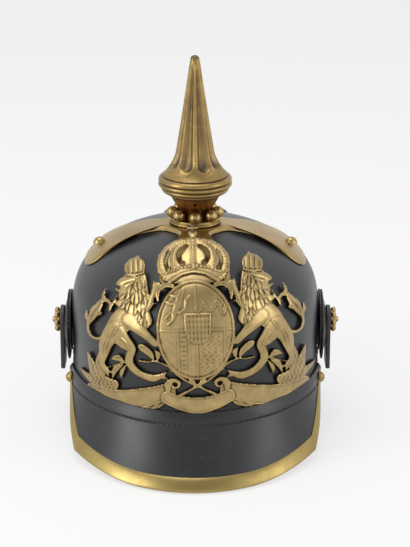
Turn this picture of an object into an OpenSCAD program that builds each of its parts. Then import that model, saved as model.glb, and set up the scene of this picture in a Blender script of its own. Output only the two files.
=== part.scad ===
// Officer's spiked leather helmet: leather skull with visor and neck guard, pierced brass plate,
// cruciform spike base with a screwed fluted spike, cockades and the two ends of the chin strap.
// Millimetres. It stands on the plane z = 0, faces -Y, and the spike stands on x = y = 0.

/* [Skull] */
// Half the width of the leather skull at its widest level
skull_half_width = 88.5; // [85:0.5:92]
// Half the length of the skull, front to back
skull_half_length = 106; // [102:0.5:110]
// Height of the widest level above the table
widest_height = 75; // [70:1:80]
// Rise of the dome above the widest level
dome_rise = 70; // [65:1:74]
// Height of the skull's rim above the table
rim_height = 44.5; // [42:0.5:48]
// Thickness of the skull's leather
skull_leather = 2.4; // [1.8:0.1:3]
// Width of the rim's turned flange that carries the visor and the neck guard
flange_width = 9; // [6:0.5:11]
// Radius of the air hole in the top of the skull
air_hole_r = 9; // [6:0.5:9.5]

/* [Visor and neck guard] */
// Reach of the front trim and of the spine's foot from the spike's axis
reach = 141.2; // [138:0.2:144]
// Half the width of the oval that the visor's lower edge lies on
visor_oval_half_width = 103.6; // [98:0.2:106]
// Half the distance between the visor's square corners
visor_corner_half_width = 83.6; // [76:0.2:88]
// Height of the visor's corners above the table
corner_lift = 5; // [2:0.5:8]
// Thickness of the visor's leather
visor_leather = 1.7; // [1.4:0.1:2.2]
// Thickness of the thin leather that lines the visor and the neck guard
lining_leather = 0.6; // [0.5:0.1:1]
// Half the width of the oval that the neck guard's edge lies on
guard_oval_half_width = 94; // [90:0.5:97]
// Height of the neck guard's lowest edge above the table
guard_foot_height = 1.6; // [1:0.1:3]
// Width of the brass trim on the visor
trim_width = 9.5; // [6:0.5:12]
// Width of its side strips, which run up to the studs
side_trim_width = 5; // [4:0.5:9]
// Thickness of the sheet brass of the trim and the spine
trim_sheet = 0.5; // [0.4:0.1:0.8]
// Radius of the domed studs on the ends of the trim
trim_stud_r = 3.9; // [3:0.1:4.5]
// Length of one stitch with its gap
stitch_pitch = 3.6; // [3:0.2:5]
// Diameter of the sewing thread
thread_d = 0.9; // [0.6:0.1:1.2]

/* [Inside] */
// Height of the sweatband
band_height = 36; // [28:1:40]
// Thickness of the sweatband's leather
band_leather = 1.1; // [0.8:0.1:1.6]
// How far the sweatband's upper edge leans in from the skull
band_lean = 9; // [8:0.5:12]
// Number of pleats in the silk lining
lining_pleats = 16; // [10:1:20]
// Thickness of the silk lining
silk = 0.7; // [0.5:0.1:1]
// Radius of the gathered opening at the top of the lining
lining_hole_r = 15; // [12:1:20]

/* [Spike base] */
// Length of the side arms of the cross, along the ground
side_arm_length = 78.5; // [74:0.5:82]
// Length of the front and rear arms of the cross
front_arm_length = 84; // [80:0.5:88]
// Thickness of the base's sheet brass
base_sheet = 0.9; // [0.6:0.1:1.2]
// Distance of the side studs from the spike's axis
base_stud_reach = 66.6; // [62:0.2:68]
// Radius of the domed studs
base_stud_r = 4.6; // [3.5:0.1:5.5]
// Radius of the flat collar under the pearls
collar_r = 18.5; // [17:0.5:20]
// Height of that collar's upper face
collar_height = 148.2; // [147.6:0.2:150]
// Number of pearls in the ring
pearl_count = 8; // [6:1:11]
// Radius of one pearl
pearl_r = 4.4; // [3.6:0.1:4.7]
// Radius of the circle that the pearls stand on
pearl_circle_r = 15.9; // [15:0.1:17]
// Radius of the neck at its foot
neck_foot_r = 11; // [10:0.2:12]
// Radius of the neck at its top
neck_top_r = 17.6; // [16.5:0.1:18.5]
// Height of the neck's top
neck_top_height = 166.4; // [165:0.2:168]
// Thickness of the neck's sheet brass
neck_sheet = 0.8; // [0.6:0.1:1.2]
// Radius of the air holes in the neck
neck_hole_r = 1.5; // [1:0.1:2]
// Number of air holes in the neck
neck_holes = 5; // [3:1:8]

/* [Spike] */
// Height of the spike's tip above the table
tip_height = 266.5; // [250:0.5:280]
// Number of flutes
flutes = 8; // [6:1:10]
// Radius of the spike's widest collar
spike_collar_r = 26.1; // [24:0.1:28]
// Depth of a flute as a share of the spike's radius
flute_depth = 0.13; // [0.06:0.01:0.18]
// Thickness of the spike's brass
spike_wall = 1.2; // [0.8:0.1:1.6]
// Radius of the spike's screwed stem
stem_r = 9.5; // [8:0.1:10]
// Length of the stem below the spike's collar
stem_length = 9; // [6:0.5:10]
// Clearance between the stem and its screwed ring
stem_clearance = 0.1; // [0.05:0.01:0.2]
// Thickness of the fibre washer under the spike
spike_washer_t = 0.8; // [0.5:0.1:1.2]

/* [Plate] */
// Height of the shield's centre on the plate
shield_height = 103; // [100:0.5:106]
// Thickness of the plate's sheet brass
plate_sheet = 0.8; // [0.6:0.1:1.2]
// Height of the relief over the sheet
relief = 1.6; // [1:0.1:2.2]
// Gap between the leather and the plate
plate_gap = 1; // [0.8:0.1:1.4]
// Extra gap behind the top of the crown, which stands off over the base's front arm
crown_gap = 10; // [8:0.5:12]
// Angle, in degrees, by which the plate was mounted askew
plate_tilt = 2; // [0:0.5:3]
// Half the angle between the two screwed posts on the plate's back
post_angle = 33; // [30:1:36]
// Height of those posts
post_height = 92; // [88:1:96]

/* [Sides] */
// Height of the rosettes and their posts
pivot_height = 72.5; // [70:0.5:76]
// Radius of the thin leather disc against the skull
backing_r = 22; // [18:0.5:24]
// Thickness of that disc
backing_t = 1.4; // [1:0.1:2]
// Radius of the cockade
cockade_r = 25.2; // [20:0.2:26]
// How far the cockade hangs below its post
cockade_drop = 3.6; // [2:0.2:5]
// Thickness of the cockade's sheet
cockade_t = 1.2; // [0.8:0.1:1.6]
// Depth of the cockade's domed face
cockade_dish = 2.4; // [1:0.1:2.8]
// Width of the strap end
tab_width = 21; // [16:0.5:24]
// Length of the strap end below its post
tab_drop = 35.3; // [30:0.1:37]
// Thickness of the strap end
tab_t = 2.9; // [2:0.1:3.4]
// Radius of the hole at the foot of the strap end
tab_hole_r = 1.6; // [1:0.1:2.2]
// Radius of the rosette
rosette_r = 9.3; // [8:0.1:11]
// Thickness of the rosette
rosette_t = 6; // [4:0.1:7]
// Radius of the posts that hold the cockades
side_post_r = 2.2; // [1.6:0.1:2.6]

/* [Hidden] */
$fn = 48;

brass = [0.67, 0.55, 0.31];
copper_brass = [0.56, 0.38, 0.2];
black_leather = [0.2, 0.21, 0.23];
// Gap between pieces that touch, clearance round a shank in its hole, and gap between moving pieces
fit = 0.05;
hole_clearance = 0.1;
body_gap = 0.3;
// Depth of a cutter that goes right through a sheet or the leather
cutter = 20;
// Gap between the curved leather and the flat face of a nut or washer inside the skull
nut_gap = 0.6;

// Form of the skull: exponents of its section, and the slight draw-in of its rim
dome_width_power = 1.85;
dome_height_power = 3.3;
rim_taper = 0.012;
wall_share = 0.25;
skull_columns = 60;
skull_rows = 13;

function mix(a, b, t) = a + (b - a) * t;
function smooth(t) = let (c = max(0, min(1, t))) c * c * (3 - 2 * c);
function unit(v) = v / norm(v);
function flip(list) = [for (i = [len(list) - 1:-1:0]) list[i]];

// Share of the full width that the skull has at height z, grown by d
function level(z, d = 0) =
    z <= widest_height
        ? 1 - rim_taper * pow((widest_height - z) / (widest_height - rim_height), 2)
        : pow(1 - pow(min(1, (z - widest_height) / (dome_rise + d)), dome_height_power), 1 / dome_width_power);

// Point of the skull at angle a from the front, counted towards +X, and height z
function skull_at(a, z, d = 0) =
    [(skull_half_width + d) * level(z, d) * sin(a), -(skull_half_length + d) * level(z, d) * cos(a), z];

// Point of the skull at angle a and share s of the way from the rim to the crown
function skull_point(a, s, d = 0) =
    s < wall_share
        ? skull_at(a, mix(rim_height, widest_height, s / wall_share), d)
        : let (lift = 90 * pow((s - wall_share) / (1 - wall_share), 1.4), k = pow(cos(lift), 2 / dome_width_power))
          [
              (skull_half_width + d) * k * sin(a),
              -(skull_half_length + d) * k * cos(a),
              widest_height + (dome_rise + d) * pow(sin(lift), 2 / dome_height_power)
          ];

// Height of the dome over the ground point (x, y), grown by d
function dome_z(x, y, d = 0) =
    let (rho = min(0.999, norm([x / (skull_half_width + d), y / (skull_half_length + d)])))
    widest_height + (dome_rise + d) * pow(1 - pow(rho, dome_width_power), 1 / dome_height_power);

// Sheet solid between matching outer and inner columns of points, closed round or capped at its ends
module sheet(outer, inner, closed = true) {
    n = len(outer);
    k = len(outer[0]);
    m = 2 * k;
    last = closed ? n - 1 : n - 2;
    points = [for (i = [0:n - 1]) each concat(outer[i], flip(inner[i]))];
    sides = [
        for (i = [0:last], j = [0:m - 1])
            let (a = i * m + j, b = i * m + (j + 1) % m)
            let (c = ((i + 1) % n) * m + (j + 1) % m, d = ((i + 1) % n) * m + j)
            each [[a, b, c], [a, c, d]]
    ];
    first_cap = [for (j = [0:k - 2]) each [[j + 1, j, m - 1 - j], [j + 1, m - 1 - j, m - 2 - j]]];
    end = (n - 1) * m;
    end_cap = [for (f = first_cap) [end + f[2], end + f[1], end + f[0]]];
    polyhedron(points, closed ? sides : concat(sides, first_cap, end_cap));
}

// Direction square to the dome over the ground point (x, y)
function dome_up(x, y) =
    let (step = 0.5)
    unit([dome_z(x - step, y) - dome_z(x + step, y), dome_z(x, y - step) - dome_z(x, y + step), 2 * step]);

// Places its children on the dome over (x, y), with their z axis square to it, and at height d along that axis
module on_dome(x, y, d = 0) {
    up = dome_up(x, y);
    translate([x, y, dome_z(x, y)])
        rotate([0, acos(up[2]), atan2(up[1], up[0])])
            translate([0, 0, d])
                children();
}

// Places its children on the skull's wall at angle a and height z, with their z axis square to it, moved out by d
module on_wall(a, z, d = 0) {
    out = unit(cross(skull_at(a + 1, z) - skull_at(a - 1, z), skull_at(a, z + 1) - skull_at(a, z - 1)));
    translate(skull_at(a, z))
        rotate([0, acos(out[2]), atan2(out[1], out[0])])
            translate([0, 0, d])
                children();
}

// Cuts a hole for a shank
module shank_hole(r) {
    cylinder(r = r + hole_clearance, h = cutter, center = true);
}

// Visor and neck guard

// The seam stands this far out from the skull's wall, and the leather sags this much below a straight slope
visor_step = 3.2;
visor_sag = 1.5;
corner_angle = asin(visor_corner_half_width / visor_oval_half_width);
corner_y = -(reach - trim_sheet) * cos(corner_angle);
flat_half_width = 40;
leather_reach = reach - trim_sheet;

function oval_half_width(a) =
    mix(guard_oval_half_width, visor_oval_half_width, smooth((cos(a) + 0.1) / 0.6));

// Height of the leather's upper edge over the table
edge_clearance = trim_sheet + visor_leather;
function edge_lift(a) =
    let (x = abs((visor_oval_half_width - trim_sheet) * sin(a)))
    edge_clearance
        + corner_lift * pow(max(0, x - flat_half_width) / (visor_corner_half_width - flat_half_width), 1.5);
function guard_lift(a) = mix(edge_lift(90), guard_foot_height, smooth(-cos(a)));
function foot_point(a) = [
    (oval_half_width(a) - trim_sheet) * sin(a),
    -leather_reach * cos(a),
    cos(a) > 0 ? edge_lift(a) : guard_lift(a)
];
function rim_point(a) = skull_at(a, rim_height, visor_step);

// Outward normal of the visor's upper face along the line at angle a
function visor_normal(a) =
    let (along = [skull_half_width * cos(a), skull_half_length * sin(a), 0])
    unit(cross(foot_point(a) - rim_point(a), along));

// Point of the visor or neck guard: share t of the way down, d above the leather's upper face
function visor_point(a, t, d = 0) =
    mix(rim_point(a), foot_point(a), t) + visor_normal(a) * (d - visor_sag * sin(180 * min(1, max(0, t))));
function slope_length(a) = norm(foot_point(a) - rim_point(a));

// The visor's side edges are cut along a plane through the corner and the stud
stud_y = -24;
stud_z = 38;
side_rake = (stud_y - corner_y) / (stud_z - edge_lift(corner_angle));
function side_cut(p, inset) = p[1] - corner_y - side_rake * (p[2] - edge_lift(corner_angle)) + inset;
function side_share(a, inset) =
    let (top = side_cut(rim_point(a), inset), foot = side_cut(foot_point(a), inset))
    top / (top - foot);
function visor_share(a) = abs(a) <= corner_angle ? 1 : min(1, side_share(a, 0));
side_inset = side_trim_width * norm([1, side_rake]);
function trim_share(a) =
    max(0.01, min(1 - trim_width / slope_length(a), side_share(a, side_inset)));

visor_end_angle = 80;
inner_corner_angle = corner_angle - 5;
visor_angles = let (
    half = concat([for (i = [0:9]) inner_corner_angle * i / 9], [corner_angle - 2.5, corner_angle],
        [for (i = [1:5]) mix(corner_angle, visor_end_angle, i / 5)])
) concat([for (i = [len(half) - 1:-1:1]) -half[i]], half);
guard_angles = [for (i = [-16:16]) 180 + i * 5.2];
function guard_share(a) = 1 - 0.86 * pow(abs(180 - a) / 84, 2.2);
visor_rows = [1, 0.86, 0.72, 0.36, 0];
lining_gap = 0.2;
// A lining starts at the flange's edge, and ends where the leather has run up to this share of the way down
lining_foot_share = 0.97;
lined_share = 0.4;
function below_flange(a) = (flange_width + 1) / slope_length(a);

// A flap of leather between two heights over its upper face, from the shares tops down to the shares feet
module leather_flap(angles, tops, feet, from, to) {
    span = [for (i = [0:len(angles) - 1]) [for (r = visor_rows) mix(tops[i], feet[i], r)]];
    sheet(
        [for (i = [0:len(angles) - 1]) [for (t = span[i]) visor_point(angles[i], t, to)]],
        [for (i = [0:len(angles) - 1]) [for (t = span[i]) visor_point(angles[i], t, from)]],
        false
    );
}

// The leather skull: a drawn leather cap whose rim is turned out as a flange under the visor
flange_leather = 1.4;
flange_face = -visor_leather - fit;
flange_margin = 2.5;
least_flange = 0.5;
highest_bend = 6;
crown_share = 0.965;

// Height at which the slope, moved in by d, meets the skull's wall grown by w
function bend_height(a, d, w) =
    let (run = unit(foot_point(a) - rim_point(a)), n = visor_normal(a))
    let (gap = visor_step - w + d * norm([n[0], n[1]]))
    rim_height + min(highest_bend, d * n[2] - run[2] * gap / norm([run[0], run[1]]));

// Share of the slope that the flange covers: it is cut back where the visor and the guard grow narrow
function flange_share(a) =
    let (cover = (cos(a) > 0 ? min(1, side_share(a, 0)) : guard_share(a)) * slope_length(a))
    max(least_flange, min(flange_width, cover - flange_margin)) / slope_length(a);

module skull() {
    rows = [for (i = [1:skull_rows]) i / skull_rows * crown_share];
    columns = [for (i = [0:skull_columns - 1]) 360 * i / skull_columns];
    function profile(a, d, w) = concat(
        [visor_point(a, flange_share(a), d), skull_at(a, bend_height(a, d, w), w)],
        [for (s = rows) skull_point(a, s, w)]
    );
    color(black_leather)
        difference() {
            sheet(
                [for (a = columns) profile(a, flange_face, 0)],
                [for (a = columns) profile(a, flange_face - flange_leather, -skull_leather)]
            );
            translate([0, 0, dome_rise])
                cylinder(r = air_hole_r, h = widest_height * 2);
            for (p = base_stud_places)
                on_dome(p[0], p[1])
                    shank_hole(base_shank_r);
            for (a = [-post_angle, post_angle])
                on_wall(a, post_height)
                    shank_hole(plate_post_r);
            for (a = [-90, 90])
                on_wall(a, pivot_height)
                    shank_hole(side_post_r);
            on_wall(180, spine_screw_height)
                shank_hole(spine_screw_r);
            at_trim_studs()
                shank_hole(stud_shank_r);
        }
}

module front_visor() {
    color(black_leather)
        difference() {
            leather_flap(visor_angles, [for (a = visor_angles) 0], [for (a = visor_angles) visor_share(a)],
                -visor_leather, 0);
            at_trim_studs()
                shank_hole(stud_shank_r);
        }
}

module front_visor_lining() {
    lined = [for (a = visor_angles) if (visor_share(a) > lined_share) a];
    color("darkolivegreen")
        leather_flap(lined, [for (a = lined) below_flange(a)], [for (a = lined) visor_share(a) * lining_foot_share],
            -visor_leather - lining_gap - lining_leather, -visor_leather - lining_gap);
}

module neck_guard() {
    color(black_leather)
        leather_flap(guard_angles, [for (a = guard_angles) 0], [for (a = guard_angles) guard_share(a)],
            -visor_leather, 0);
}

module neck_guard_lining() {
    lined = [for (a = guard_angles) if (guard_share(a) > lined_share) a];
    color("firebrick")
        leather_flap(lined, [for (a = lined) below_flange(a)], [for (a = lined) guard_share(a) * lining_foot_share],
            -visor_leather - lining_gap - lining_leather, -visor_leather - lining_gap);
}

// Rows of stitches: each stitch is a short round bar lying on the leather, this far from the seam
stitch_inset = flange_width - 1.2;
stitch_fill = 0.62;
stitched_half_angle = 76;

// The stitches stop short of the trim in front and of the spine behind
function open_leather(a) =
    cos(a) > 0
        ? trim_share(a) * slope_length(a) > stitch_inset + 2 * thread_d
        : abs(rim_point(a)[0]) > spine_width / 2 + stitch_pitch;

module stitch_row(first, last) {
    count = floor(abs(last - first) * skull_half_length * PI / 180 / stitch_pitch);
    turn = (last - first) / count;
    function at(a) = visor_point(a, stitch_inset / slope_length(a), thread_d / 2 + 2 * fit);
    color([0.1, 0.1, 0.1])
        for (i = [0:count - 1])
            if (open_leather(first + (i + 0.5) * turn)) {
                start = at(first + (i + 0.5) * turn);
                run = at(first + (i + 0.5 + stitch_fill) * turn) - start;
                translate(start)
                    rotate([0, acos(run[2] / norm(run)), atan2(run[1], run[0])])
                        cylinder(d = thread_d, h = norm(run), $fn = 6);
            }
}

// Brass channel round the visor's cut edge, with its side strips running up to the studs
// Its lower strip goes under the lining, and under the skull's flange near the studs
under_share = 0.75;
trim_gap = 0.16;
trim_overhang = 0.003;
lined_depth = visor_leather + lining_gap + lining_leather + 2 * trim_gap;
flange_depth = visor_leather + flange_leather + 3 * trim_gap;
past_flange = 5;
function under_depth(a, t) = t * slope_length(a) < flange_width + past_flange ? flange_depth : lined_depth;

module visor_trim() {
    shares = [for (a = visor_angles) [trim_share(a), visor_share(a)]];
    function rows(i, sign) =
        let (a = visor_angles[i], top = shares[i][0], foot = shares[i][1], mid = mix(foot, top, 0.5))
        let (lip = mix(foot, top, under_share), edge = foot + trim_overhang, out = sign * trim_sheet)
        let (fold = edge + out / slope_length(a), low = -under_depth(a, edge))
        [
            visor_point(a, lip, -under_depth(a, lip) - out),
            visor_point(a, mid, -under_depth(a, mid) - out),
            visor_point(a, edge, low - out) + [0, 0, sign * fit],
            visor_point(a, fold, low * 0.7),
            visor_point(a, fold, low * 0.3),
            visor_point(a, edge, trim_gap + out),
            visor_point(a, mid, trim_gap + out),
            visor_point(a, top, trim_gap + out)
        ];
    color(brass)
        difference() {
            sheet(
                [for (i = [0:len(visor_angles) - 1]) rows(i, 1)],
                [for (i = [0:len(visor_angles) - 1]) rows(i, 0)],
                false
            );
            translate([-visor_oval_half_width, -reach - 1, -cutter])
                cube([2 * visor_oval_half_width, reach, cutter]);
            at_trim_studs()
                shank_hole(stud_shank_r);
        }
}

// Domed studs that pin the ends of the trim, with a washer under the leather
stud_angle = 75.5;
stud_share = 0.16;
stud_shank_r = 1;
stud_gap = 0.45;
stud_seat = trim_sheet + trim_gap + stud_gap;
stud_washer_t = 0.8;
stud_washer_r = 2.6;
stud_washer_foot = -flange_depth - trim_sheet - stud_gap - stud_washer_t;

module at_trim_studs(d = 0) {
    for (a = [-stud_angle, stud_angle]) {
        n = visor_normal(a);
        translate(visor_point(a, stud_share, d))
            rotate([0, acos(n[2]), atan2(n[1], n[0])])
                children();
    }
}

module dome_cap(r, h) {
    ball = (r * r + h * h) / (2 * h);
    intersection() {
        translate([0, 0, h - ball])
            sphere(r = ball);
        cylinder(r = r + 1, h = h + 1);
    }
}

// A domed head with a shank that ends at height foot
module stud(r, h, shank_r, foot) {
    dome_cap(r, h);
    translate([0, 0, foot])
        cylinder(r = shank_r, h = h / 2 - foot);
}

module washer(r, h, shank_r) {
    difference() {
        cylinder(r = r, h = h);
        shank_hole(shank_r);
    }
}

module trim_studs() {
    color(brass)
        at_trim_studs(stud_seat)
            stud(trim_stud_r, trim_stud_r * 0.8, stud_shank_r, stud_washer_foot - stud_seat - 0.5);
}

module trim_stud_washers() {
    color(brass)
        at_trim_studs(stud_washer_foot)
            washer(stud_washer_r, stud_washer_t, stud_shank_r);
}

// Rear spine: a brass strip from the base's rear arm down to a foot hooked under the neck guard
spine_width = 11;
spine_screw_height = 88;
spine_screw_r = 1.4;
spine_top_share = 0.62;
spine_wall_share = 0.035;
spine_screw_head = [3.2, 1.4];
spine_hook = 9;
spine_hook_rise = 3.2;
spine_gap = 0.3;

module rear_spine() {
    function run(d) = concat(
        [for (i = [0:10])
            let (p = skull_point(180, mix(spine_top_share, spine_wall_share, i / 10), d))
            [p[1], p[2]]],
        [for (i = [len(visor_rows) - 1:-1:1])
            let (p = visor_point(180, visor_rows[i], d))
            [p[1], p[2]]]
    );
    color(brass)
        difference() {
            rotate([90, 0, 90])
                translate([0, 0, -spine_width / 2])
                    linear_extrude(spine_width)
                        polygon(concat(
                            run(spine_gap + trim_sheet),
                            [[reach, spine_hook_rise], [reach, 0], [reach - spine_hook, 0],
                                [reach - spine_hook, trim_sheet], [leather_reach + fit, trim_sheet],
                                [leather_reach + fit, spine_hook_rise]],
                            flip(run(spine_gap))
                        ));
            on_wall(180, spine_screw_height)
                shank_hole(spine_screw_r);
        }
}

// Head radius and height of the spine's screw, and sizes of the nuts: radius and height
small_nut = [2.8, 2.2];
plate_nut = [3.2, 2.1];
side_nut = [4.3, 3];

module spine_screws() {
    color(brass)
        on_wall(180, spine_screw_height, trim_sheet + spine_gap + 2 * fit)
            stud(spine_screw_head[0], spine_screw_head[1], spine_screw_r, -nut_depth(small_nut) - 1);
}

module spine_screw_nuts() {
    color(brass)
        on_wall(180, spine_screw_height, -nut_depth(small_nut))
            nut(small_nut, spine_screw_r);
}

// How deep the foot of a nut lies under the leather's outer face
function nut_depth(size) = skull_leather + nut_gap + size[1];

module nut(size, shank_r) {
    difference() {
        cylinder(r = size[0] * 1.1, h = size[1], $fn = 6);
        shank_hole(shank_r);
    }
}

// Sweatband and silk lining

// Height of the sweatband's foot, and its clearance from the curved leather
band_foot = rim_height - 1;
band_gap = 0.35;

module sweatband() {
    columns = [for (i = [0:skull_columns - 1]) 360 * i / skull_columns];
    function at(a, r, d) =
        skull_at(a, band_foot + band_height * r, d - skull_leather - band_gap - (band_lean - skull_leather) * r);
    color("saddlebrown")
        sheet(
            [for (a = columns) [for (r = [0, 1]) at(a, r, 0)]],
            [for (a = columns) [for (r = [0, 1]) at(a, r, -band_leather)]]
        );
}

// The lining hangs inside the leather, its first and last latitude and the height of its folds
lining_inset = 0.8;
lining_latitudes = [10, 83];
lining_fold = 1.1;

module silk_lining() {
    columns = [for (i = [0:lining_pleats * 6 - 1]) 360 * i / (lining_pleats * 6)];
    rows = [for (i = [0:5]) i / 5];
    bottom = band_foot + band_height + body_gap;
    inset = -band_lean - lining_inset;
    crown_z = widest_height + dome_rise + inset - 1;
    function at(a, u, d) =
        let (lift = mix(lining_latitudes[0], lining_latitudes[1], u), k = pow(cos(lift), 2 / dome_width_power))
        let (fold = lining_fold * u * cos(a * lining_pleats), hole = lining_hole_r + d * 0.3)
        let (w = skull_half_width + inset + fold + d, l = skull_half_length + inset + fold + d)
        [
            mix(w * k, hole, pow(u, 6)) * sin(a),
            -mix(l * k, hole, pow(u, 6)) * cos(a),
            mix(bottom, crown_z + d, pow(sin(90 * u), 0.9)) + fold
        ];
    color("tan")
        sheet(
            [for (a = columns) [for (u = rows) at(a, u, 0)]],
            [for (a = columns) [for (u = rows) at(a, u, -silk) - [0, 0, silk * u]]]
        );
}

// Spike base: sheet-brass cross on the dome, with domed studs and nuts inside the skull

// Half of one arm's outline: distance out along the arm, and half its width there
arm_outline = [
    [17, 17], [22, 12.5], [28, 11], [37, 10.6], [45, 12.8], [53, 17],
    [61, 22], [67, 24.2], [72.5, 23], [76.5, 17], [78.2, 9]
];
arm_drawn_length = 78.5;
// Height of the sheet's edge over the leather, how far the arms swell above it, and the dip for the collar
base_edge_d = 1.1;
base_swell = 2;
base_rise = 0.2;
base_dip = 0.95;
base_opening_r = 14;
base_rows = [0, 0.2, 0.4, 0.6, 0.8, 0.93, 1];
front_stud_reach = 62;
rear_stud_reach = 72;
base_stud_places = [
    [base_stud_reach, 0], [-base_stud_reach, 0], [0, rear_stud_reach], [0, -front_stud_reach]
];
base_shank_r = 1.5;

function arm_reach(quarter) = quarter % 2 == 1 ? side_arm_length : front_arm_length;
function stretched(p, length) =
    let (straight = 28)
    [p[0] <= straight ? p[0] : straight + (p[0] - straight) * (length - straight) / (arm_drawn_length - straight), p[1]];
function in_quarter(p, quarter) =
    let (a = 90 * quarter)
    [p[0] * sin(a) + p[1] * cos(a), -p[0] * cos(a) + p[1] * sin(a)];
base_edge = [
    for (quarter = [0:3])
        let (half = [for (p = arm_outline) stretched(p, arm_reach(quarter))])
        each concat(
            [for (p = half) in_quarter([p[0], -p[1]], quarter)],
            [in_quarter([arm_reach(quarter), 0], quarter)],
            [for (i = [len(half) - 1:-1:1]) in_quarter(half[i], quarter)]
        )
];

// Point of the base's face: share u of the way from its round opening to its edge, raised by d
function base_point(edge, u, d) =
    let (p = mix(unit(edge) * base_opening_r, edge, u), r = norm(p))
    let (rise = base_rise * (1 - smooth((r - 20) / 34)) - base_dip * (1 - smooth((r - 16) / 9)))
    [p[0], p[1], dome_z(p[0], p[1], base_edge_d + base_swell * (1 - pow(u, 6)) + rise) + d];

// Height at which a stud of radius r sits on the base at p, square to the dome
function base_seat(p, r) =
    let (arm = unit(p) * (p[0] == 0 ? front_arm_length : side_arm_length))
    let (foot = [p[0], p[1], dome_z(p[0], p[1])], up = dome_up(p[0], p[1]))
    3 * fit + max([for (step = [-1:0.5:1])
        let (u = (norm(p) + step * r - base_opening_r) / (norm(arm) - base_opening_r))
        (base_point(arm, u, 0) - foot) * up]);

module spike_base() {
    color(brass)
        difference() {
            sheet(
                [for (e = base_edge) [for (u = flip(base_rows)) base_point(e, u, 0)]],
                [for (e = base_edge) [for (u = flip(base_rows)) base_point(e, u, -base_sheet)]]
            );
            for (p = base_stud_places)
                on_dome(p[0], p[1])
                    shank_hole(base_shank_r);
        }
}

module base_studs() {
    color(brass)
        for (i = [0:2]) {
            p = base_stud_places[i];
            seat = base_seat(p, base_stud_r);
            on_dome(p[0], p[1], seat)
                stud(base_stud_r, base_stud_r * 0.95, base_shank_r, -seat - nut_depth(small_nut));
        }
}

module base_stud_nuts() {
    color(brass)
        for (p = base_stud_places)
            on_dome(p[0], p[1], -nut_depth(small_nut))
                nut(small_nut, base_shank_r);
}

// Low flat screw in the front arm, under the plate's crown
low_screw_head = [2.4, 0.5];

module front_arm_screw() {
    p = base_stud_places[3];
    seat = base_seat(p, low_screw_head[0]);
    color(brass)
        on_dome(p[0], p[1], seat) {
            cylinder(r = low_screw_head[0], h = low_screw_head[1]);
            translate([0, 0, -seat - nut_depth(small_nut)])
                cylinder(r = base_shank_r, h = seat + nut_depth(small_nut));
        }
}

// Brass ring inside the skull that clamps the leather round the air hole
clamp_ring_width = 7;
clamp_ring_t = 1.2;

module base_clamp_ring() {
    outer_r = air_hole_r + clamp_ring_width;
    color(brass)
        translate([0, 0, dome_z(outer_r, 0, -skull_leather) - 0.4 - clamp_ring_t])
            difference() {
                cylinder(r = outer_r, h = clamp_ring_t);
                cylinder(r = air_hole_r, h = cutter, center = true);
            }
}

// Flat collar that the pearls stand on, soldered round the neck's foot
collar_t = 1.2;
collar_edge = 0.4;

module base_collar() {
    color(brass)
        translate([0, 0, collar_height - collar_t])
            rotate_extrude()
                polygon([
                    [neck_foot_r, 0], [collar_r - collar_edge, 0], [collar_r, collar_edge],
                    [collar_r, collar_t - collar_edge], [collar_r - collar_edge, collar_t],
                    [neck_foot_r, collar_t]
                ]);
}

// The pearls stand in a flat ring
pearl_ring_margin = 1.3;
pearl_ring_t = 2;
pearl_height = collar_height + pearl_r + 0.9;

module pearl_ring() {
    color(brass) {
        for (i = [0:pearl_count - 1])
            rotate([0, 0, -90 + 360 * i / pearl_count])
                translate([pearl_circle_r, 0, pearl_height])
                    sphere(r = pearl_r);
        translate([0, 0, collar_height])
            rotate_extrude()
                polygon([
                    [neck_foot_r + fit, 0], [pearl_circle_r + pearl_ring_margin, 0],
                    [pearl_circle_r + pearl_ring_margin, pearl_ring_t], [neck_foot_r + fit, pearl_ring_t]
                ]);
    }
}

// Neck: a flared tube with a row of air holes under the spike's collar
neck_hole_height = neck_top_height - 2.8;
neck_tail = 0.6;
neck_straight_share = 0.35;
neck_flare_share = 0.55;

module spike_neck() {
    low = collar_height;
    foot = low - collar_t - neck_tail;
    top = neck_top_height;
    mid = mix(low, top, neck_straight_share);
    flare_r = mix(neck_foot_r, neck_top_r, neck_flare_share);
    flare_z = mix(mid, top, neck_flare_share);
    color(copper_brass)
        difference() {
            rotate_extrude()
                polygon([
                    [neck_foot_r - neck_sheet, foot], [neck_foot_r - fit, foot],
                    [neck_foot_r - fit, low], [neck_foot_r, mid], [flare_r, flare_z], [neck_top_r, top],
                    [neck_top_r - neck_lip, top], [flare_r - neck_sheet, flare_z], [neck_foot_r - neck_sheet, mid]
                ]);
            for (i = [0:neck_holes - 1])
                rotate([0, 0, -90 + 360 * i / neck_holes])
                    translate([neck_top_r, 0, neck_hole_height])
                        rotate([0, 90, 0])
                            cylinder(r = neck_hole_r, h = neck_top_r, center = true);
        }
}

// Screwed ring in the neck's mouth, with a plain bore at the screw's pitch size
neck_lip = neck_sheet * 1.3;
screw_ring_r = neck_top_r - neck_lip - fit;
screw_ring_wall = 1.6;
screw_ring_depth = 7.4;
screw_ring_t = 1.4;
screw_ring_taper = 0.9;
bore_r = stem_r + stem_clearance;

module neck_screw_ring() {
    color(brass)
        translate([0, 0, neck_top_height])
            rotate_extrude()
                polygon([
                    [bore_r, -screw_ring_depth], [stem_r + screw_ring_wall, -screw_ring_depth],
                    [stem_r + screw_ring_wall, -screw_ring_t], [screw_ring_r - screw_ring_taper, -screw_ring_t],
                    [screw_ring_r, 0], [bore_r, 0]
                ]);
}

module spike_washer() {
    washer_r = neck_top_r - body_gap;
    color([0.25, 0.2, 0.16])
        translate([0, 0, neck_top_height])
            rotate_extrude()
                polygon([
                    [bore_r, 0], [washer_r, 0], [washer_r, spike_washer_t], [bore_r, spike_washer_t]
                ]);
}

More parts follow.
